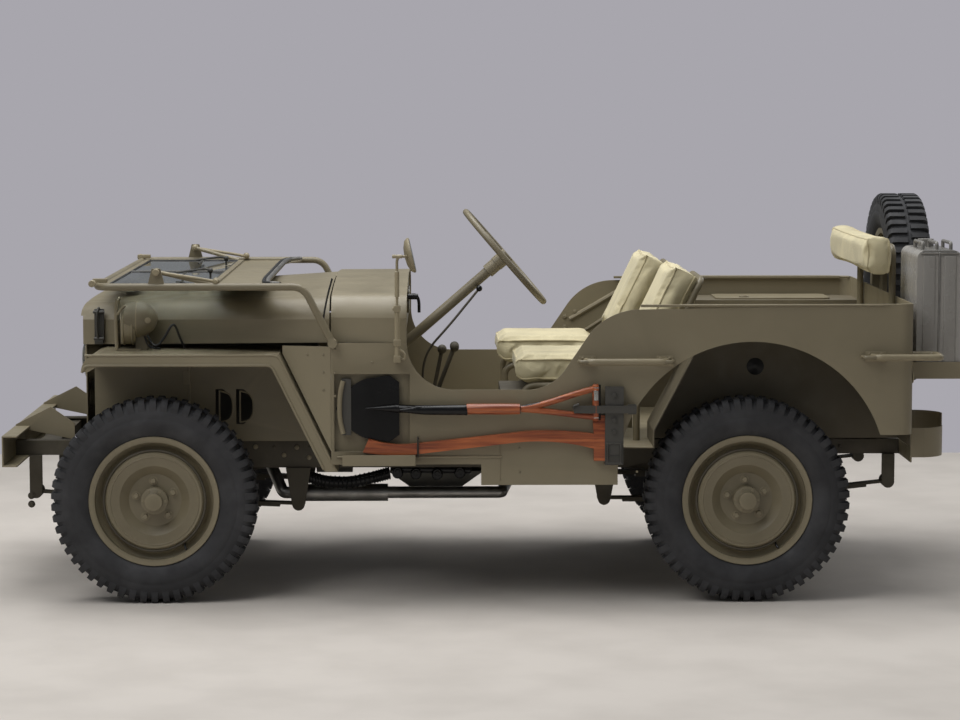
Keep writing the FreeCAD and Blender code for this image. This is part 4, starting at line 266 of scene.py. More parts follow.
class Shape:
    def __init__(self):
        self.mesh = bmesh.new()

    def faces(self, points, loops):
        made = [self.mesh.verts.new(point) for point in points]
        for loop in loops:
            self.mesh.faces.new([made[index] for index in loop])
        return made

    def soften(self, made, bevel, segments):
        """Rounds the edges between some new vertices."""
        edges = list(dict.fromkeys(edge for vert in made for edge in vert.link_edges))
        bmesh.ops.bevel(self.mesh, geom=edges, offset=bevel, segments=segments, affect="EDGES", profile=0.7)

    def block(self, centre, size, bevel=0.0):
        """Box about a centre."""
        half = Vector(size) / 2
        points = [Vector(centre) + Vector((half.x * i, half.y * j, half.z * k))
                  for i in (-1, 1) for j in (-1, 1) for k in (-1, 1)]
        loops = [(0, 1, 3, 2), (4, 6, 7, 5), (0, 4, 5, 1), (2, 3, 7, 6), (0, 2, 6, 4), (1, 5, 7, 3)]
        made = self.faces(points, loops)
        if bevel:
            self.soften(made, bevel, 2)
        return self

    def lathe(self, centre, axis, profile, steps=24):
        """Turned form: profile pairs are (radius, distance along the axis)."""
        turn = frame_along(axis)
        rings = []
        for radius, along in profile:
            if radius < TINY:
                rings.append([self.mesh.verts.new(Vector(centre) + turn @ Vector((0, 0, along)))])
                continue
            ring = []
            for number in range(steps):
                angle = 2 * math.pi * number / steps
                local = Vector((radius * math.cos(angle), radius * math.sin(angle), along))
                ring.append(self.mesh.verts.new(Vector(centre) + turn @ local))
            rings.append(ring)
        for one, two in zip(rings, rings[1:]):
            for number in range(steps):
                after = (number + 1) % steps
                loop = [one[number % len(one)], one[after % len(one)],
                        two[after % len(two)], two[number % len(two)]]
                unique = list(dict.fromkeys(loop))
                if len(unique) > 2:
                    self.mesh.faces.new(unique)
        return self

    def bar(self, start, end, radius, steps=12, chamfer=0.2):
        start, end = Vector(start), Vector(end)
        long = (end - start).length
        cut = min(radius * chamfer, long / 3)
        profile = [(0, 0), (radius - cut, 0), (radius, cut), (radius, long - cut),
                   (radius - cut, long), (0, long)]
        return self.lathe(start, end - start, profile, steps)

    def bolt(self, centre, axis, radius, high, washer=True):
        """Hexagon head on a thin washer."""
        base = 0.0
        if washer:
            wide = radius * 1.5
            self.lathe(centre, axis, [(0, 0), (wide, 0), (wide, high * 0.2), (0, high * 0.2)], 16)
            base = high * 0.18
        head = [(0, base), (radius, base), (radius, high * 0.85), (radius * 0.85, high), (0, high)]
        return self.lathe(centre, axis, head, 6)

    def rivet(self, centre, axis, radius):
        profile = [(radius, 0), (radius * 0.85, radius * 0.4), (radius * 0.4, radius * 0.62),
                   (0, radius * 0.66)]
        return self.lathe(centre, axis, profile, 10)

    def ball(self, centre, radius, steps=14):
        profile = [(radius * math.sin(math.pi * number / steps), -radius * math.cos(math.pi * number / steps))
                   for number in range(steps + 1)]
        return self.lathe(centre, UP, profile, steps * 2)

    def ring(self, centre, axis, radius, thick, steps=40, around=10):
        profile = [(radius + thick * math.cos(2 * math.pi * number / around),
                    thick * math.sin(2 * math.pi * number / around)) for number in range(around + 1)]
        return self.lathe(centre, axis, profile, steps)

    def wire(self, points, radius, steps=8, rounding=2):
        """Bent wire or tube: each corner of the route is rounded, by one BEND a step of rounding."""
        corners = [Vector(point) for point in points]
        route = [corners[0]]
        for before, corner, after in zip(corners, corners[1:], corners[2:]):
            reach = BEND * rounding
            start = corner + (before - corner) * min(0.48, reach / max((before - corner).length, TINY))
            end = corner + (after - corner) * min(0.48, reach / max((after - corner).length, TINY))
            parts = 6 if rounding else 0
            for number in range(parts + 1):
                share = number / max(parts, 1)
                first = start.lerp(corner, share)
                route.append(first.lerp(corner.lerp(end, share), share) if parts else corner)
        route.append(corners[-1])
        forward = (route[1] - route[0]).normalized()
        across = forward.orthogonal().normalized()
        rings = []
        for index, point in enumerate(route):
            ahead = route[min(index + 1, len(route) - 1)] - route[max(index - 1, 0)]
            ahead.normalize()
            across = (across - ahead * across.dot(ahead)).normalized()
            up = ahead.cross(across)
            ring = []
            for number in range(steps):
                angle = 2 * math.pi * number / steps
                away = across * math.cos(angle) + up * math.sin(angle)
                ring.append(self.mesh.verts.new(point + away * radius))
            rings.append(ring)
        for one, two in zip(rings, rings[1:]):
            for number in range(steps):
                after = (number + 1) % steps
                self.mesh.faces.new((one[number], one[after], two[after], two[number]))
        self.mesh.faces.new(rings[0][::-1])
        self.mesh.faces.new(rings[-1])
        return self

    def plate(self, outline, low, thick, bevel):
        """Flat sheet: an outline of (x, y) pairs at a height, pushed up by its thickness."""
        count = len(outline)
        points = [(x, y, z) for z in (low, low + thick) for x, y in outline]
        loops = [tuple(range(count)), tuple(range(2 * count - 1, count - 1, -1))]
        loops += [(number, number + count, (number + 1) % count + count, (number + 1) % count)
                  for number in range(count)]
        self.soften(self.faces(points, loops), bevel, 1)
        return self

    def mirrored(self):
        """Adds the same parts on the other side of the car."""
        whole = self.mesh.verts[:] + self.mesh.edges[:] + self.mesh.faces[:]
        copy = bmesh.ops.duplicate(self.mesh, geom=whole)
        verts = [item for item in copy["geom"] if isinstance(item, bmesh.types.BMVert)]
        bmesh.ops.scale(self.mesh, vec=(1, -1, 1), verts=verts)
        return self

    def piece(self, name, material, body="chassis", slot=None, smooth=38):
        bmesh.ops.recalc_face_normals(self.mesh, faces=self.mesh.faces)
        mesh = bpy.data.meshes.new(name)
        self.mesh.to_mesh(mesh)
        self.mesh.free()
        thing = bpy.data.objects.new(name, mesh)
        bpy.context.scene.collection.objects.link(thing)
        mesh.materials.append(material)
        mesh.polygons.foreach_set("use_smooth", [True] * len(mesh.polygons))
        mesh.set_sharp_from_angle(angle=math.radians(smooth))
        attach(thing, body)
        return thing


# Tyres: carcass with sidewall rings, and two staggered rows of bar lugs

LUGS = 54
LUG_SHARE = 0.27
BEAD_RADIUS = 0.2083
TREAD_DEEP = 0.0105


def tyre_shape(centre, axis):
    out = TYRE_RADIUS - TREAD_DEEP
    side_wall = [(BEAD_RADIUS, -0.0547), (BEAD_RADIUS + 0.016, -0.058), (0.232, -0.066), (0.246, -0.074),
                 (0.268, -0.0785), (0.284, -0.0790), (0.286, -0.0780), (0.289, -0.0786), (0.306, -0.0765),
                 (0.318, -0.0735), (out - 0.012, -0.068), (out - 0.003, -0.060)]
    crown = [(out, -0.040), (out, 0.040)]
    section = side_wall + crown + [(radius, -along) for radius, along in reversed(side_wall)]
    form = Shape().lathe(centre, axis, section, 108)
    turn = frame_along(axis)
    wide = 2 * math.pi * TYRE_RADIUS / LUGS * LUG_SHARE
    rows = [(out - 0.034, 0.0745, wide * 1.1), (out - 0.018, 0.0765, wide), (out - 0.001, 0.0745, wide),
            (TYRE_RADIUS - 0.002, 0.0655, wide * 0.9), (TYRE_RADIUS, 0.060, wide * 0.9),
            (TYRE_RADIUS, 0.008, wide * 0.9), (out - 0.004, 0.004, wide)]
    feet = [(out - 0.036, 0.066), (out - 0.02, 0.062), (out - 0.012, 0.055), (out - 0.012, 0.05),
            (out - 0.012, 0.045), (out - 0.012, 0.012), (out - 0.012, 0.008)]
    last = (len(rows) - 1) * 4
    loops = [(start + column, start + column + 1, start + column + 5, start + column + 4)
             for start in range(0, last, 4) for column in range(3)]
    loops += [(3, 2, 1, 0), (last, last + 1, last + 2, last + 3)]
    for side in (-1, 1):
        for number in range(LUGS):
            angle = 2 * math.pi * (number + (0.5 if side > 0 else 0)) / LUGS
            spin = Matrix.Rotation(angle, 3, "Z")

            def spot(radius, across, along):
                return Vector(centre) + turn @ (spin @ Vector((radius, across, along * side)))
            points = []
            for (radius, along, half_wide), (low, inner) in zip(rows, feet):
                foot_wide = half_wide * 1.15
                points += [spot(low, -foot_wide, inner), spot(radius, -half_wide, along),
                           spot(radius, half_wide, along), spot(low, foot_wide, inner)]
            form.faces(points, loops)
    return form


def make_tyres():
    for name in WHEELS:
        node = "tyre_" + name
        centre = middle_of(node)
        side = -1 if name.endswith("left") else 1
        tyre = tyre_shape(centre, (0, side, 0)).piece("road_" + node, TYRE, "wheel_" + name, smooth=50)
        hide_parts(node)
    tyre = tyre_shape(middle_of("spare_tyre"), AFT).piece("spare_tyre_rubber", TYRE, smooth=50)
    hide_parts("spare_tyre")


RIM_FACE = 0.6225
NUT_CIRCLE = 0.067
HUB_CIRCLE = 0.037


def make_wheel_details():
    """Lug nuts, hub bolts and cap, rim bead ring and valve on each wheel; nuts on the spare."""
    for name in WHEELS:
        low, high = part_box("wheel_" + name)
        side = -1 if name.endswith("left") else 1
        centre = Vector(((low.x + high.x) / 2, RIM_FACE * side, (low.z + high.z) / 2))
        axis = Vector((0, side, 0))

        def spot(x, out, z):
            return centre + Vector((x, 0, z)) + axis * out
        form = Shape()
        for number in range(5):
            angle = 2 * math.pi * number / 5 + 0.4
            place = spot(math.cos(angle) * NUT_CIRCLE, 0.021, math.sin(angle) * NUT_CIRCLE)
            form.bolt(place, axis, 0.0105, 0.013)
        for number in range(6):
            angle = 2 * math.pi * number / 6
            place = spot(math.cos(angle) * HUB_CIRCLE, 0.052, math.sin(angle) * HUB_CIRCLE)
            form.bolt(place, axis, 0.0055, 0.006, False)
        form.lathe(spot(0, 0.083, 0), axis, [(0.029, 0), (0.0295, 0.003), (0.02, 0.006), (0, 0.007)], 28)
        for out, radius, thick, steps in ((0.0235, 0.098, 0.003, 40), (0.0500, 0.152, 0.0022, 40),
                                          (0.0615, 0.2215, 0.0024, 72)):
            form.ring(spot(0, out, 0), axis, radius, thick, steps)
        # Dark raised ring on the disc where its groove lies: painted shade of the groove.
        groove_shade = Shape().ring(spot(0, 0.0440, 0), axis, 0.1735, 0.0050, 72)
        groove_shade.piece("wheel_groove_shade_" + name, OLIVE_SHADED_UNDER, "wheel_" + name)
        form.piece("wheel_detail_" + name, OLIVE, "wheel_" + name)
        valve = Shape()
        stem = [spot(0.100, 0.030, -0.150), spot(0.102, 0.046, -0.158), spot(0.108, 0.056, -0.166)]
        valve.wire(stem, 0.004)
        valve.piece("valve_" + name, SEAL, "wheel_" + name, "tyre")
    form = Shape()
    centre = middle_of("spare_wheel")
    face = middle_of("spare_tyre").x + 0.021
    for number in range(3):
        angle = math.radians(60 * number - 150)
        place = (face, centre.y + NUT_CIRCLE * math.cos(angle), centre.z + NUT_CIRCLE * math.sin(angle))
        form.bolt(place, AFT, 0.0125, 0.018)
    form.piece("spare_nuts", OLIVE_WORN)


# Seats: cloth blown up from a slightly smaller form, then welts along the seams

SEAT_LEAN = math.radians(26)
BACK_SHARE = 0.89
PAD_IN = 0.008
PRESSURE = 4.0
CLOTH_FRAMES = 20
PIPING_RADIUS = 0.0036
PIPING_STEP = 0.012
PIPING_IN = 0.012


def loose_forms(node):
    """Vertices and faces of each separate solid of a CAD node, front one first."""
    thing = nodes[node]
    form = bmesh.new()
    form.from_mesh(thing.data)
    form.transform(thing.matrix_world)
    bmesh.ops.remove_doubles(form, verts=form.verts, dist=0.00005)
    groups = []
    left = set(form.verts)
    while left:
        first = left.pop()
        found, waiting = {first}, [first]
        while waiting:
            for edge in waiting.pop().link_edges:
                for vert in edge.verts:
                    if vert not in found:
                        found.add(vert)
                        waiting.append(vert)
        left -= found
        groups.append(found)
    forms = []
    for found in groups:
        order = {vert: number for number, vert in enumerate(vert for vert in form.verts if vert in found)}
        points = [vert.co.copy() for vert in order]
        loops = [[order[vert] for vert in face.verts] for face in form.faces if face.verts[0] in found]
        forms.append((points, loops))
    form.free()
    return sorted(forms, key=lambda item: min(point.x for point in item[0]))


def corners_of(points, lean):
    """Corners of the tightest box about some points in a frame that leans back by an angle."""
    turn = Matrix.Rotation(lean, 3, "Y")
    inside = [turn.transposed() @ point for point in points]
    low = Vector([min(point[axis] for point in inside) for axis in range(3)])
    high = Vector([max(point[axis] for point in inside) for axis in range(3)])
    return turn, low, high


def shortened(points, lean, share):
    """The same points drawn towards the foot of a leaning back, along its lean."""
    turn, low, high = corners_of(points, lean)
    moved = []
    for point in points:
        local = turn.transposed() @ point
        local.z = low.z + (local.z - low.z) * share
        moved.append(turn @ local)
    return moved


def swell(thing, cap, voxel):
    """Remeshes a pad, draws it in, lets cloth pressure round it, and keeps the move within a cap."""
    scene = bpy.context.scene
    material = thing.data.materials[0]

    def take():
        graph = bpy.context.evaluated_depsgraph_get()
        made = bpy.data.meshes.new_from_object(thing.evaluated_get(graph))
        thing.modifiers.clear()
        thing.data = made
        made.materials.clear()
        made.materials.append(material)
        return made
    remesh = thing.modifiers.new("remesh", "REMESH")
    remesh.mode = "VOXEL"
    remesh.voxel_size = voxel
    solid = take()
    normals = [vert.normal.copy() for vert in solid.vertices]
    for vert, normal in zip(solid.vertices, normals):
        vert.co -= normal * PAD_IN
    rest = [vert.co.copy() for vert in solid.vertices]
    cloth = thing.modifiers.new("cloth", "CLOTH")
    cloth.settings.use_pressure = True
    cloth.settings.uniform_pressure_force = PRESSURE
    cloth.settings.effector_weights.gravity = 0
    cloth.settings.quality = 4
    cloth.settings.tension_stiffness = 12
    cloth.settings.bending_stiffness = 0.4
    cloth.point_cache.frame_start = 1
    cloth.point_cache.frame_end = CLOTH_FRAMES
    for number in range(CLOTH_FRAMES):
        scene.frame_set(number + 1)
    blown = take()
    for vert, start in zip(blown.vertices, rest):
        move = vert.co - start
        if move.length > cap:
            vert.co = start + move.normalized() * cap
    scene.frame_set(1)
    softer = thing.modifiers.new("smooth", "SMOOTH")
    softer.factor = 0.5
    softer.iterations = 3
    thing.modifiers.new("finer", "SUBSURF").levels = 1
    blown.polygons.foreach_set("use_smooth", [True] * len(blown.polygons))


def cushion(name, node, points, loops, lean, flat, cap=0.014, voxel=0.0065):
    """Swollen canvas pad and its piping, in the space that one solid of the CAD node holds."""
    pad = Shape()
    pad.faces(points, loops)
    thing = pad.piece(name, CANVAS)
    swell(thing, cap, voxel)
    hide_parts(node)
    turn, low, high = corners_of(points, lean)
    half = (high - low) / 2
    middle = (low + high) / 2
    skin = BVHTree.FromObject(thing, bpy.context.evaluated_depsgraph_get())
    piping = Shape()
    across, along = [axis for axis in range(3) if axis != flat]
    for side in (-1, 1):
        corners = []
        for step in ((0, -1), (1, -1), (1, 1), (-1, 1), (-1, -1), (0, -1)):
            spot = middle.copy()
            spot[flat] += (half[flat] - PIPING_IN) * side
            spot[across] += (half[across] - PIPING_IN) * step[0]
            spot[along] += (half[along] - PIPING_IN) * step[1]
            corners.append(turn @ spot)
        route = []
        for one, two in zip(corners, corners[1:]):
            count = max(2, int((two - one).length / PIPING_STEP))
            route += [skin.find_nearest(one.lerp(two, number / count))[0] for number in range(count)]
        route.append(route[0])
        piping.wire(route, PIPING_RADIUS, 8, 0)
    piping.piece(name + "_piping", CANVAS_SEAM)


def make_cushions():
    up, facing = 2, 0
    for name in ("driver", "passenger"):
        node = name + "_seat_cushions"
        base, back = loose_forms(node)
        cushion(name + "_seat_pad", node, *base, 0, up)
        points, loops = back
        points = shortened(points, SEAT_LEAN, BACK_SHARE)
        cushion(name + "_back_pad", node, points, loops, SEAT_LEAN, facing)
    base, back = loose_forms("rear_seat_cushions")
    cushion("rear_seat_pad", "rear_seat_cushions", *base, 0, up, voxel=0.0075)
    cushion("rear_back_pad", "rear_seat_cushions", *back, 0, facing, 0.010)


# Body details

def make_body_details():
    """Handle grips and feet, hems, cowl skins, tool lids, the cover in the arch, ribs and rivets."""
    y = -PANEL_Y
    front_level, rear_level = 0.838, 0.852
    form = Shape()
    for x, z, wide in ((0.350, front_level, 0.056), (0.613, front_level, 0.056), (1.328, rear_level, 0.068)):
        form.block((x, y - 0.0015, z), (wide, 0.003, 0.036), bevel=0.001)
        for step in (-wide / 3.4, wide / 3.4):
            for rise in (-0.010, 0.010):
                form.rivet((x + step, y - 0.003, z + rise), LEFT, 0.0046)
    foot_y, grip_y = y - 0.004, y - 0.037
    form.wire([(x, side_y, front_level) for x, side_y in
               ((0.345, foot_y), (0.356, grip_y), (0.607, grip_y), (0.618, foot_y))], 0.0120, 12, 1)
    form.wire([(x, side_y, rear_level) for x, side_y in
               ((1.318, foot_y), (1.330, grip_y), (1.546, grip_y), (1.546, -0.668), (1.464, -0.668))],
              0.0115, 12, 1)
    form.mirrored()
    form.piece("handle_grips", OLIVE_WORN)
    hem = Shape()
    top = BODY_HIGH.z - 0.002
    hem.wire([(0.66, y - 0.0005, top), (1.38, y - 0.0005, top), (1.452, y + 0.030, top)], 0.0042, 8, 2)
    hem.wire([(-0.50, y - 0.001, 0.512), (0.06, y - 0.001, 0.512)], 0.004, 8, 0)
    for x, z in ((-0.380, 0.835), (-0.505, 0.88), (-0.505, 0.80), (-0.505, 0.72),
                 (0.12, 0.46), (0.12, 0.54), (0.52, 0.46)):
        hem.rivet((x, y - 0.0002, z), LEFT, 0.0045)
    hem.wire([(0.055, y - 0.0006, 0.430), (0.055, y - 0.0006, 0.565)], 0.0016, 6, 0)
    hem.mirrored()
    hem.piece("body_hems", OLIVE)
    skin = Shape()
    back_x, front_x = -0.5195, -0.685
    back_y, front_y = y + 0.002, -0.700
    outer = [(back_x, back_y, 0.888), (front_x, front_y, 0.888), (front_x, front_y, 0.862),
             (back_x, back_y, 0.530)]
    inner = [(x, side + 0.003, z) for x, side, z in outer]
    skin.faces(outer + inner, [(0, 1, 2, 3), (7, 6, 5, 4), (0, 4, 5, 1), (1, 5, 6, 2), (2, 6, 7, 3),
                               (3, 7, 4, 0)])
    for x, z in ((-0.545, 0.86), (-0.545, 0.80), (-0.545, 0.74), (-0.60, 0.86)):
        share = (x - back_x) / (front_x - back_x)
        skin.rivet((x, back_y * (1 - share) + front_y * share - 0.0005, z), (-0.2, -1, 0), 0.0042)
    skin.mirrored()
    skin.piece("cowl_side_skins", OLIVE)
    lids = Shape()
    for sign in (-1, 1):
        lids.plate([(x, side * sign) for x, side in ((0.93, 0.50), (1.33, 0.50), (1.35, 0.52), (1.35, 0.70),
                                                     (1.33, 0.72), (0.93, 0.72), (0.91, 0.70), (0.91, 0.52))],
                   0.955, 0.006, 0.001)
        lids.ring((1.02, 0.535 * sign, 0.964), UP, 0.016, 0.003, 20, 6)
    lids.piece("tool_lids", OLIVE)
    cover = Shape()
    cover.lathe((0.952, -0.4605, 0.792), LEFT, [(0, 0), (0.030, 0), (0.030, 0.004), (0.022, 0.008),
                                                (0.010, 0.010), (0, 0.016)], 28)
    cover.piece("arch_cover", SEAL)
    ribs = Shape()
    for number in range(6):
        ribs.block((-0.02 + 0.08 * number, 0, 0.545), (0.012, 0.38, 0.004), bevel=0.0015)
    far_y = PANEL_Y - 0.004
    ribs.wire([(0.36, far_y, 0.86), (0.60, far_y, 1.00)], 0.010, 8, 0)
    ribs.wire([(0.30, far_y, 0.74), (0.66, far_y, 0.97)], 0.007, 8, 0)
    for x, z in ((0.34, 0.87), (0.38, 0.89), (0.34, 0.83)):
        ribs.bolt((x, far_y, z), LEFT, 0.007, 0.006)
    ribs.piece("inner_ribs", OLIVE)


def make_hood_details():
    """Side catches and wood blocks of the hood."""
    form = Shape()
    x = -1.335
    form.block((x, -0.4525, 0.935), (0.034, 0.012, 0.120), bevel=0.003)
    form.wire([(x, -0.462, 1.000), (x - 0.006, -0.476, 0.985), (x - 0.006, -0.476, 0.905),
               (x, -0.462, 0.885)], 0.0045)
    form.bar((x - 0.020, -0.466, 0.985), (x + 0.020, -0.466, 0.985), 0.0055)
    form.bar((x - 0.018, -0.466, 0.892), (x + 0.018, -0.466, 0.892), 0.0065)
    form.block((x, -0.464, 0.880), (0.030, 0.020, 0.014), bevel=0.002)
    form.mirrored()
    form.piece("hood_catches", STEEL_DARK, "chassis", "olive_paint")
    blocks = Shape()
    for sign in (-1, 1):
        blocks.block((-1.24, 0.24 * sign, HOOD_HIGH.z - 0.022), (0.05, 0.12, 0.022), bevel=0.003)
    blocks.piece("hood_blocks", OLIVE, "hood")


def make_lamp_details():
    """Headlamp rims and lenses, and the guarded lamp's strap, barrel, rings and wires."""
    rims = Shape()
    lenses = Shape()
    for sign in (-1, 1):
        for z, radius in ((0.812, 0.0825), (0.668, 0.0345)):
            spot = (GRILLE_X - 0.001, 0.308 * sign, z)
            rims.ring(spot, AHEAD, radius, radius * 0.055, 48, 8)
            lenses.lathe(spot, AHEAD, [(radius * 0.98, 0.002), (radius * 0.8, radius * 0.14),
                                       (radius * 0.5, radius * 0.24), (0, radius * 0.28)], 48)
    near, far = NIGHT_NEAR, NIGHT_FAR
    y = (near + far) / 2
    lamp_z, barrel_z = 0.937, 0.968
    rims.lathe((-1.243, y, lamp_z), AFT, [(0, 0), (0.050, 0), (0.055, 0.006), (0.055, 0.040),
                                          (0.050, 0.048), (0, 0.048)], 36)
    for x in (-1.236, -1.205):
        rims.ring((x, y, lamp_z), AFT, 0.0565, 0.0035, 36, 8)
    rims.ring((-1.190, y, barrel_z), AFT, 0.0585, 0.004, 40, 8)
    rims.bolt((-1.150, y - 0.055, barrel_z), LEFT, 0.007, 0.008)
    rims.wire([(-1.259, near + 0.004, 0.866), (-1.262, near + 0.004, 1.000), (-1.258, near + 0.022, 1.036),
               (-1.250, y, 1.040), (-1.258, far - 0.022, 1.036), (-1.262, far - 0.004, 1.000),
               (-1.259, far - 0.004, 0.866)], 0.0065, 10, 3)
    rims.wire([(-1.258, near + 0.004, 0.985), (-1.230, near + 0.010, 1.022), (-1.215, near + 0.012, 0.99)],
              0.005, 8, 2)
    rims.piece("lamp_rims", OLIVE_WORN)
    lenses.piece("lamp_lenses", LENS)
    wires = Shape()
    wires.wire([(-1.155, y - 0.030, 0.915), (-1.128, y - 0.040, 0.870), (-1.095, y - 0.035, 0.905),
                (-1.065, y - 0.020, 0.965), (-1.045, y, 0.900), (-1.030, y + 0.010, 0.866)], 0.0042, 8, 3)
    wires.wire([(-1.165, y - 0.020, 0.910), (-1.150, y - 0.030, 0.872), (-1.110, y - 0.030, 0.868)],
               0.0035, 8, 3)
    wires.piece("lamp_wires", SEAL)


def make_mirror_details():
    """Round mirror on a jointed post with its clamp and link."""
    form = Shape()
    x, y = -0.294, -0.786
    low, arm = 0.842, 1.196
    lean = (0.97, 0, 0.22)
    centre = Vector((-0.250, -0.728, arm))
    form.lathe(centre, lean, [(0, -0.020), (0.030, -0.017), (0.052, -0.009), (0.0595, 0.000), (0.0605, 0.006),
                              (0.057, 0.0085), (0, 0.0085)], 48)
    form.wire([(x, y, low), (x, y, arm), (x + 0.034, y, arm), (x + 0.034, -0.735, arm)], 0.0048, 10, 1)
    form.bar((x, y, low + 0.003), (x, y, 1.015), 0.0085, 14)
    form.bar((x, y, 1.055), (x, y, 1.150), 0.0078, 14, 0.8)
    for z in (1.020, 0.905, 0.850):
        form.block((x, y, z), (0.024, 0.021, 0.022), bevel=0.004)
    form.bolt((x - 0.010, y, 1.020), AHEAD, 0.0065, 0.006)
    form.bar((x - 0.016, y, arm), (x + 0.018, y, arm), 0.0065, 10)
    form.block((x, y + 0.020, low + 0.006), (0.022, 0.046, 0.022), bevel=0.003)
    link = [(x, y, 0.862), (x + 0.024, y, 0.845), (x + 0.028, y, 0.868), (x + 0.006, y, 0.884)]
    form.wire(link, 0.004, 8, 1)
    post = form.piece("mirror_post", OLIVE_WORN)
    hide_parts("mirror")
    glass = Shape()
    glass.lathe(centre, lean, [(0.0565, 0.009), (0, 0.0093)], 48)
    glass.piece("mirror_glass", MIRROR)


def make_can_details():
    """Pressed panels, centre seam and shoulder band of the fuel can."""
    form = Shape()
    centre = (CAN_LOW + CAN_HIGH) / 2
    for side_y in (CAN_LOW.y, CAN_HIGH.y):
        for step in (-0.036, 0.036):
            form.block((centre.x + step, side_y, centre.z - 0.010), (0.040, 0.010, 0.390), bevel=0.0045)
    form.piece("can_pressings", CAN_GREY)
    seam = Shape()
    seam_y = CAN_LOW.y - 0.001
    band_z = 1.196
    seam.bar((centre.x, seam_y, CAN_LOW.z + 0.010), (centre.x, seam_y, CAN_HIGH.z - 0.035), 0.0035, 8)
    seam.wire([(CAN_LOW.x + 0.012, seam_y, band_z), (CAN_HIGH.x - 0.012, seam_y, band_z)], 0.003, 8, 0)
    seam.piece("can_seam", GREY_METAL)


def make_dash_details():
    """Dial bezels, faces, ticks and hands on the instrument panel."""
    bezels = Shape()
    faces = Shape()
    hands = Shape()
    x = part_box("dash_panel")[1].x
    pitch = 0.062
    small = 0.026
    for y, z, radius in ((0, 1, 0.040), (-1, 1.4, small), (1, 1.4, small), (-1, 0.4, small), (1, 0.4, small)):
        spot = Vector((x, pitch * y, 0.960 + pitch * z * 0.6))
        bezels.ring(spot, AFT, radius, 0.0025, 36, 8)
        faces.lathe(spot, AFT, [(radius * 0.97, 0.0004), (0, 0.0008)], 36)
        for number in range(9):
            angle = math.radians(-220 + 32.5 * number)
            tick = spot + Vector((0.0012, math.cos(angle) * radius * 0.8, -math.sin(angle) * radius * 0.8))
            hands.block(tick, (0.0006, 0.0022, 0.0022))
        spot.x += 0.0014
        hands.bar(spot, spot + Vector((0, radius * 0.5, radius * 0.45)), 0.0011, 6)
    bezels.piece("dial_bezels", GREY_METAL)
    faces.piece("dial_faces", DIAL)
    hands.piece("dial_marks", DIAL_MARK)


def make_tool_details():
    """Strap, clamp, buckles, wooden grip and gloss ferrules of the shovel and axe."""
    buckle_y, strap_y, shaft_y = -0.7705, -0.7485, -0.768
    clamp_x, fork_x, shaft_z = 0.4405, 0.378, 0.678
    fork_levels = (0.649, 0.751)
    strap = Shape()
    strap.wire([(-0.478, strap_y + 0.0025, 0.772), (-0.489, strap_y, 0.730), (-0.491, strap_y, 0.645),
                (-0.478, strap_y + 0.0025, 0.592)], 0.0085, 10, 3)
    strap.piece("blade_strap_cover", OLIVE)
    buckle = Shape()
    y = buckle_y
    for x in (0.418, 0.463):
        buckle.wire([(x, y, 0.488), (x, y - 0.006, 0.520), (x, y, 0.562)], 0.0036, 8, 2)
    buckle.bar((0.412, y, 0.560), (0.469, y, 0.560), 0.0036, 8)
    buckle.bar((0.412, y, 0.492), (0.469, y, 0.492), 0.0050, 8)
    buckle.block((clamp_x, y, 0.506), (0.050, 0.007, 0.026), bevel=0.002)
    for z in (0.600, 0.640, 0.725):
        buckle.bolt((clamp_x, y - 0.001, z), LEFT, 0.007, 0.007)
    buckle.wire([(0.303, -0.777, shaft_z), (0.300, -0.785, 0.690), (0.320, -0.785, 0.696)], 0.004, 8, 2)
    buckle.block((0.500, -0.775, 0.677), (0.028, 0.010, 0.034), bevel=0.003)
    buckle.block((clamp_x, y - 0.003, 0.677), (0.070, 0.008, 0.022), bevel=0.002)
    buckle.piece("tool_buckles", STEEL_DARK)
    wood = Shape()
    wood.lathe((-0.062, shaft_y, shaft_z), AFT, [(0.0150, 0), (0.0180, 0.005), (0.0188, 0.12),
                                                 (0.0178, 0.182)], 28)
    for level in fork_levels:
        rise = level - shaft_z
        route = [(x, shaft_y, shaft_z + rise * share) for x, share in
                 ((0.105, 0), (0.15, 0.05), (0.23, 1 / 3), (0.30, 2 / 3), (0.385, 1))]
        wood.wire(route, 0.0105, 12, 2)
    wood.bar((fork_x, shaft_y, 0.636), (fork_x, shaft_y, 0.763), 0.0125, 16, 0.4)
    wood.piece("shovel_wood", WOOD)
    ferrule = Shape()
    for level in fork_levels:
        ferrule.ball((fork_x, shaft_y, level), 0.0128, 8)
    ferrule.bar((fork_x, shaft_y - 0.004, 0.706), (fork_x, shaft_y - 0.004, 0.742), 0.0100, 14)
    ferrule.piece("shovel_ferrules", BRIGHT)
    socket = Shape()
    profile = [(0.004, 0), (0.011, 0.03), (0.0165, 0.08), (0.0180, 0.215), (0.0190, 0.224), (0.0170, 0.228)]
    socket.lathe((-0.285, shaft_y, 0.675), AFT, profile, 24)
    socket.piece("shovel_socket", BLACK)


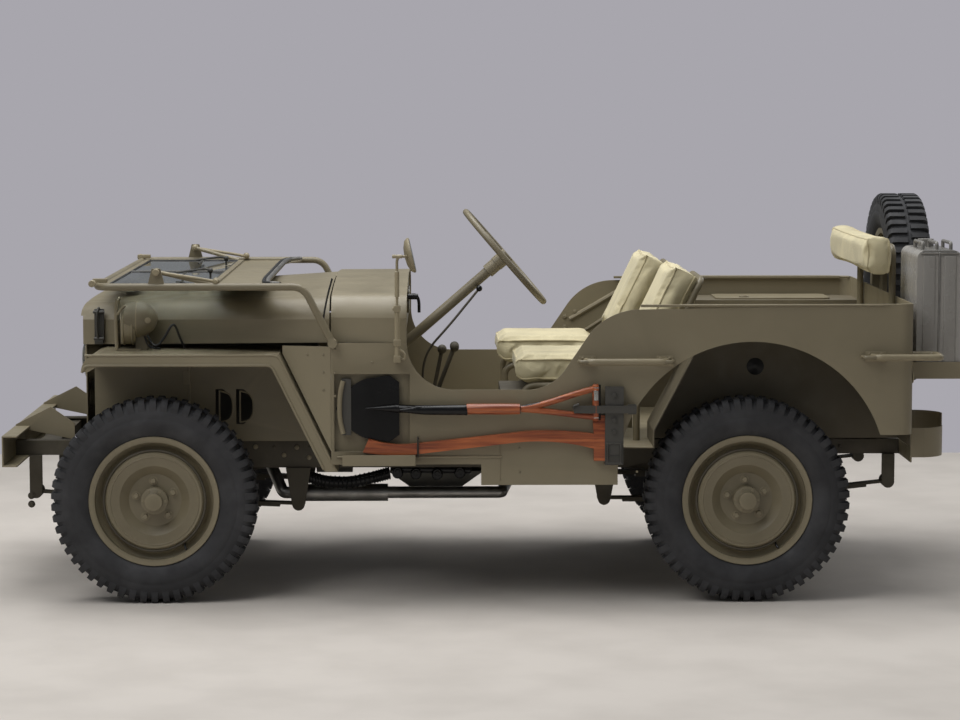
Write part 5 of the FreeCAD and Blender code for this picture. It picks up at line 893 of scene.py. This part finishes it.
def make_windshield_details():
    """Glazing strips, seals, screws, stays, wipers and cable of the folded windshield."""
    seal = Shape()
    for low_y, high_y in ((GLASS_LOW.y, -0.012), (0.012, GLASS_HIGH.y)):
        for z in (GLASS_HIGH.z + 0.0005, GLASS_LOW.z - 0.0005):
            route = [(GLASS_LOW.x, low_y, z), (GLASS_HIGH.x, low_y, z), (GLASS_HIGH.x, high_y, z),
                     (GLASS_LOW.x, high_y, z)]
            for one, two in zip(route, route[1:] + route[:1]):
                seal.wire([one, two], 0.0035, 6, 0)
    seal.piece("glazing_strips", SEAL, "windshield")
    level = 1.1005
    half = [(-0.690, -0.725, level), (-0.735, -0.690, level), (-0.745, -0.500, level)]
    arch = half + [(x, -y, z) for x, y, z in reversed(half)]
    silver = Shape()
    silver.wire(arch, 0.0075, 10, 3)
    silver.piece("lower_seal_bead", GREY_METAL, "windshield")
    band = Shape()
    band.wire([(x - 0.014, y * 0.985, z) for x, y, z in arch], 0.0060, 8, 3)
    band.piece("lower_seal_rubber", SEAL, "windshield")
    screws = Shape()
    screw_z = 1.0975
    for number in range(9):
        for x in (-1.284, -0.921):
            screws.rivet((x, -0.62 + 0.155 * number, screw_z), UP, 0.004)
    stay_x, knob_x, front_x = -1.105, -0.905, -1.320
    for sign in (-1, 1):
        for number in range(3):
            screws.rivet((-1.20 + 0.11 * number, 0.679 * sign, screw_z), UP, 0.004)
        in_y, stay_y = 0.735 * sign, 0.745 * sign
        screws.ball((stay_x, 0.728 * sign, 1.142), 0.0125, 8)
        screws.bar((stay_x, stay_y, 1.142), (stay_x, 0.776 * sign, 1.142), 0.012, 12)
        screws.bar((front_x, stay_y, 1.104), (front_x, 0.772 * sign, 1.104), 0.012, 12)
        screws.block((-1.300, 0.700 * sign, 1.110), (0.050, 0.024, 0.014), bevel=0.003)
        screws.wire([(-1.100, in_y, 1.140), (-0.960, in_y, 1.118), (knob_x, in_y, 1.108)], 0.0055, 8, 1)
        screws.ball((knob_x, in_y, 1.110), 0.0125, 8)
        screws.bar((knob_x, 0.725 * sign, 1.110), (knob_x, 0.765 * sign, 1.110), 0.0075, 10)
    screws.piece("sash_fittings", OLIVE_WORN, "windshield")
    wiper = Shape()
    motor_x, blade_x = -0.955, -1.055
    for y in (-0.36, 0.36):
        wiper.wire([(motor_x, y, 1.096), (motor_x, y, 1.122), (-0.975, y + 0.02, 1.128),
                    (-1.08, y + 0.05, 1.112)], 0.004)
        wiper.ball((motor_x, y, 1.122), 0.010, 8)
        wiper.bar((blade_x, y - 0.05, 1.106), (blade_x, y + 0.18, 1.106), 0.004, 8)
    wiper.piece("wipers", STEEL_DARK, "windshield")
    cable = Shape()
    cable.wire([(x, -0.752, z) for x, z in ((-0.513, 1.120), (-0.532, 1.050), (-0.548, 0.960),
                                            (-0.530, 0.915))], 0.0032, 8, 3)
    cable.piece("windshield_cable", SEAL)


def make_rear_details():
    """Shells and lenses of the small tail lamps on the rear panel."""
    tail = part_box("rear_panel")[1].x
    shells = Shape()
    lenses = Shape()
    for sign in (-1, 1):
        for y, z, radius in ((0.630, 0.690, 0.030), (0.690, 0.780, 0.024)):
            spot = (tail, y * sign, z)
            shells.lathe(spot, AFT, [(0, 0), (radius, 0), (radius, 0.0035), (radius * 0.86, 0.0045),
                                     (radius * 0.84, 0.003), (0, 0.003)], 32)
            lenses.lathe(spot, AFT, [(radius * 0.84, 0.0032), (radius * 0.5, 0.0044), (0, 0.0048)], 32)
    shells.piece("tail_lamps", OLIVE_WORN)
    lenses.piece("tail_lenses", RED_LENS)


def make_chassis_details():
    """Rivets of the frame rails, spring clips, bumper bolts and the ribbed pipe under the floor."""
    form = Shape()
    rail_y = 0.3720
    for sign in (-1, 1):
        for number in range(22):
            form.rivet((-1.36 + 0.125 * number, rail_y * sign, 0.500), (0, sign, 0), 0.006)
        for axle_x in (-1.128, 0.904):
            for x in (axle_x - 0.040, axle_x + 0.040):
                form.wire([(x, side_y * sign, z) for side_y, z in
                           ((0.320, 0.250), (0.320, 0.395), (0.378, 0.395), (0.378, 0.250))], 0.006, 8, 2)
        for z in (0.300, 0.330):
            form.bolt((-1.590, 0.386 * sign, z), (0, sign, 0), 0.0085, 0.009)
        for number in range(2):
            form.bolt((cad_low.x, (0.30 + 0.08 * number) * sign, 0.52), AHEAD, 0.010, 0.009)
    # The frame's fasteners take the darker olive: painted shade.
    form.piece("chassis_fasteners", OLIVE_SHADED_UNDER)
    pipe = Shape()
    pipe_y, pipe_radius, hoops = -0.345, 0.0205, 24
    route = [Vector((x, pipe_y, z)) for x, z in ((-0.620, 0.392), (-0.560, 0.372), (-0.470, 0.368),
                                                 (-0.380, 0.388), (-0.330, 0.402))]
    pipe.wire(route, pipe_radius, 14, 3)
    for number in range(hoops):
        share = number / (hoops - 1)
        place = share * (len(route) - 1)
        index = min(int(place), len(route) - 2)
        spot = route[index].lerp(route[index + 1], place - index)
        pipe.ring(spot, (1, 0, 0.15 if share > 0.5 else -0.15), pipe_radius, 0.0030, 20, 6)
    for x, z in ((-0.300, 0.405), (-0.235, 0.402), (-0.160, 0.400), (-0.080, 0.405)):
        pipe.bar((x, pipe_y - 0.030, z), (x, pipe_y + 0.020, z), 0.020, 12)
        pipe.bolt((x, pipe_y - 0.031, z + 0.006), LEFT, 0.009, 0.010)
    pipe.bar((-0.320, pipe_y, 0.418), (-0.040, pipe_y, 0.412), 0.014, 12)
    pipe.piece("under_pipe", BLACK)


def make_fender_details():
    """Rolled edge, apron seam, brace, small bracket, louvre frames and rivets of each front fender."""
    y = FENDER_LOW.y
    form = Shape()
    form.wire([(-1.362, y, 0.800), (-1.352, y, 0.824), (-0.721, y, 0.824), (-0.545, y, 0.468)], 0.0050, 8, 1)
    seam_y = y + 0.001
    form.wire([(-1.352, seam_y, 0.858), (-0.699, seam_y, 0.858), (-0.505, seam_y, 0.466)], 0.0042, 8, 1)
    form.bar((-1.028, y + 0.33, 0.55), (-1.028, y + 0.33, 0.84), 0.004, 8)
    form.block((-1.040, -0.402, 0.748), (0.020, 0.008, 0.045), bevel=0.002)
    apron_y, top, low = -0.4005, 0.702, 0.590
    for centre in (-0.912, -0.840):
        x = centre - 0.012
        form.wire([(x, apron_y, low), (x, apron_y, top)], 0.003, 8, 0)
        route = [(x, apron_y, top), (centre + 0.030, apron_y, top - 0.012), (centre + 0.036, apron_y, 0.646),
                 (centre + 0.030, apron_y, low + 0.012), (x, apron_y, low)]
        form.wire(route, 0.003, 8, 2)
    for x, z in ((-0.655, 0.498), (-0.612, 0.462), (-0.70, 0.47), (-1.28, 0.50), (-1.18, 0.50),
                 (-0.80, 0.50)):
        form.rivet((x, -0.3725, z), LEFT, 0.009)
    form.mirrored()
    form.piece("fender_edges", OLIVE)


def make_control_details():
    """Thin rod beside the steering column, its knob and the dash handle."""
    form = Shape()
    form.wire([(-0.012, -0.395, 1.060), (-0.114, -0.402, 0.935), (-0.190, -0.405, 0.850),
               (-0.212, -0.400, 0.780), (-0.206, -0.395, 0.660)], 0.0042, 8, 2)
    form.bar((-0.012, -0.368, 1.066), (-0.012, -0.412, 1.062), 0.005, 8)
    # The rod under the dash takes the darker olive: painted shade.
    form.piece("column_rod", OLIVE_SHADED_UNDER)
    knob = Shape()
    handle_y, handle_z = -0.500, 1.040
    knob.wire([(x, handle_y, z) for x, z in ((-0.262, handle_z), (-0.236, 1.050), (-0.222, 1.030),
                                             (-0.222, 0.985))], 0.0055, 10, 3)
    knob.bar((-0.262, handle_y, handle_z), (-0.225, handle_y, handle_z), 0.010, 12)
    knob.ball((-0.012, -0.414, 1.062), 0.011, 10)
    knob.piece("dash_handle", BLACK)


def dress_cad_nodes():
    """A procedural material for every CAD node that stays in view."""
    special = {
        "windshield_glass": GLASS, "jerrycan": CAN_GREY, "engine_block": ENGINE, "gearbox": ENGINE,
        "exhaust": GREY_METAL, "radiator": BLACK, "axe": WOOD, "shovel": BLACK, "tool_brackets": STEEL_DARK,
        "wheelhouses": OLIVE_SHADE,
    }
    # Parts under the body take the darker olive: painted shade.
    for name in ("driver_controls", "propeller_shafts", "front_axle", "rear_axle", "leaf_springs", "frame",
                 "fuel_tank", "knuckle_left", "knuckle_right", "tie_rod"):
        special[name] = OLIVE_SHADED_UNDER
    for name, thing in nodes.items():
        material = special.get(name, OLIVE)
        thing.data.materials.clear()
        thing.data.materials.append(material)


# Camera at the photograph's viewing angle, pale floor and soft light

IMAGE_LONG = 960
FOCAL_PIXELS = 2755
SENSOR = 36
CAMERA_PLACE = (-0.152, -10.03, 1.740)
PITCH_DOWN = math.radians(5.52)
YAW = math.radians(0.85)
FLOOR_HALF = 9
FLOOR_END = 3.25


def make_camera():
    data = bpy.data.cameras.new("camera")
    data.sensor_width = SENSOR
    data.lens = FOCAL_PIXELS / IMAGE_LONG * SENSOR
    data.clip_end = 100
    camera = bpy.data.objects.new("camera", data)
    camera.location = CAMERA_PLACE
    camera.rotation_euler = (math.radians(90) - PITCH_DOWN, 0, -YAW)
    bpy.context.scene.collection.objects.link(camera)
    bpy.context.scene.camera = camera


def make_floor():
    form = Shape()
    form.faces([(-FLOOR_HALF, -FLOOR_HALF, 0), (FLOOR_HALF, -FLOOR_HALF, 0), (FLOOR_HALF, FLOOR_END, 0),
                (-FLOOR_HALF, FLOOR_END, 0)], [(0, 1, 2, 3)])
    mesh = bpy.data.meshes.new("floor")
    form.mesh.to_mesh(mesh)
    form.mesh.free()
    floor = bpy.data.objects.new("floor", mesh)
    bpy.context.scene.collection.objects.link(floor)
    material, feed, add = shader("floor_paint")
    patches = span(add, noise(add, 3, 4), 0.4, 0.65)
    feed("Base Color", mixed(add, patches, colour(206, 199, 191), colour(198, 191, 183)))
    feed("Roughness", 0.85)
    mesh.materials.append(material)


def make_light():
    """Even light from all round, a plain backdrop for the camera, and three soft lamps."""
    world = bpy.data.worlds.new("world")
    bpy.context.scene.world = world
    world.use_nodes = True
    tree = world.node_tree
    lit = tree.nodes["Background"]
    lit.inputs["Color"].default_value = (0.93, 0.96, 1.0, 1)
    lit.inputs["Strength"].default_value = 0.21
    seen = tree.nodes.new("ShaderNodeBackground")
    seen.inputs["Color"].default_value = colour(168, 166, 173)
    path = tree.nodes.new("ShaderNodeLightPath")
    mix = tree.nodes.new("ShaderNodeMixShader")
    tree.links.new(path.outputs["Is Camera Ray"], mix.inputs[0])
    tree.links.new(lit.outputs[0], mix.inputs[1])
    tree.links.new(seen.outputs[0], mix.inputs[2])
    tree.links.new(mix.outputs[0], tree.nodes["World Output"].inputs["Surface"])
    for name, place, power, size, target in (
            ("key", (-3.4, -3.4, 5.4), 135, 3.5, (-0.6, 0, 0.7)),
            ("top", (-0.5, 0.3, 5.6), 275, 4.5, (-0.2, 0, 0.5)),
            ("rear", (4.5, 3.0, 4.0), 60, 3.0, (0, 0, 0.8))):
        data = bpy.data.lights.new(name, "AREA")
        data.energy = power
        data.size = size
        light = bpy.data.objects.new(name, data)
        light.location = place
        light.rotation_euler = (Vector(target) - Vector(place)).to_track_quat("-Z", "Y").to_euler()
        bpy.context.scene.collection.objects.link(light)


make_camera()
make_floor()
make_light()
dress_cad_nodes()
make_tyres()
make_wheel_details()
make_cushions()
make_body_details()
make_hood_details()
make_fender_details()
make_lamp_details()
make_mirror_details()
make_can_details()
make_dash_details()
make_tool_details()
make_windshield_details()
make_rear_details()
make_chassis_details()
make_control_details()

scene = bpy.context.scene
scene.view_settings.view_transform = "Standard"
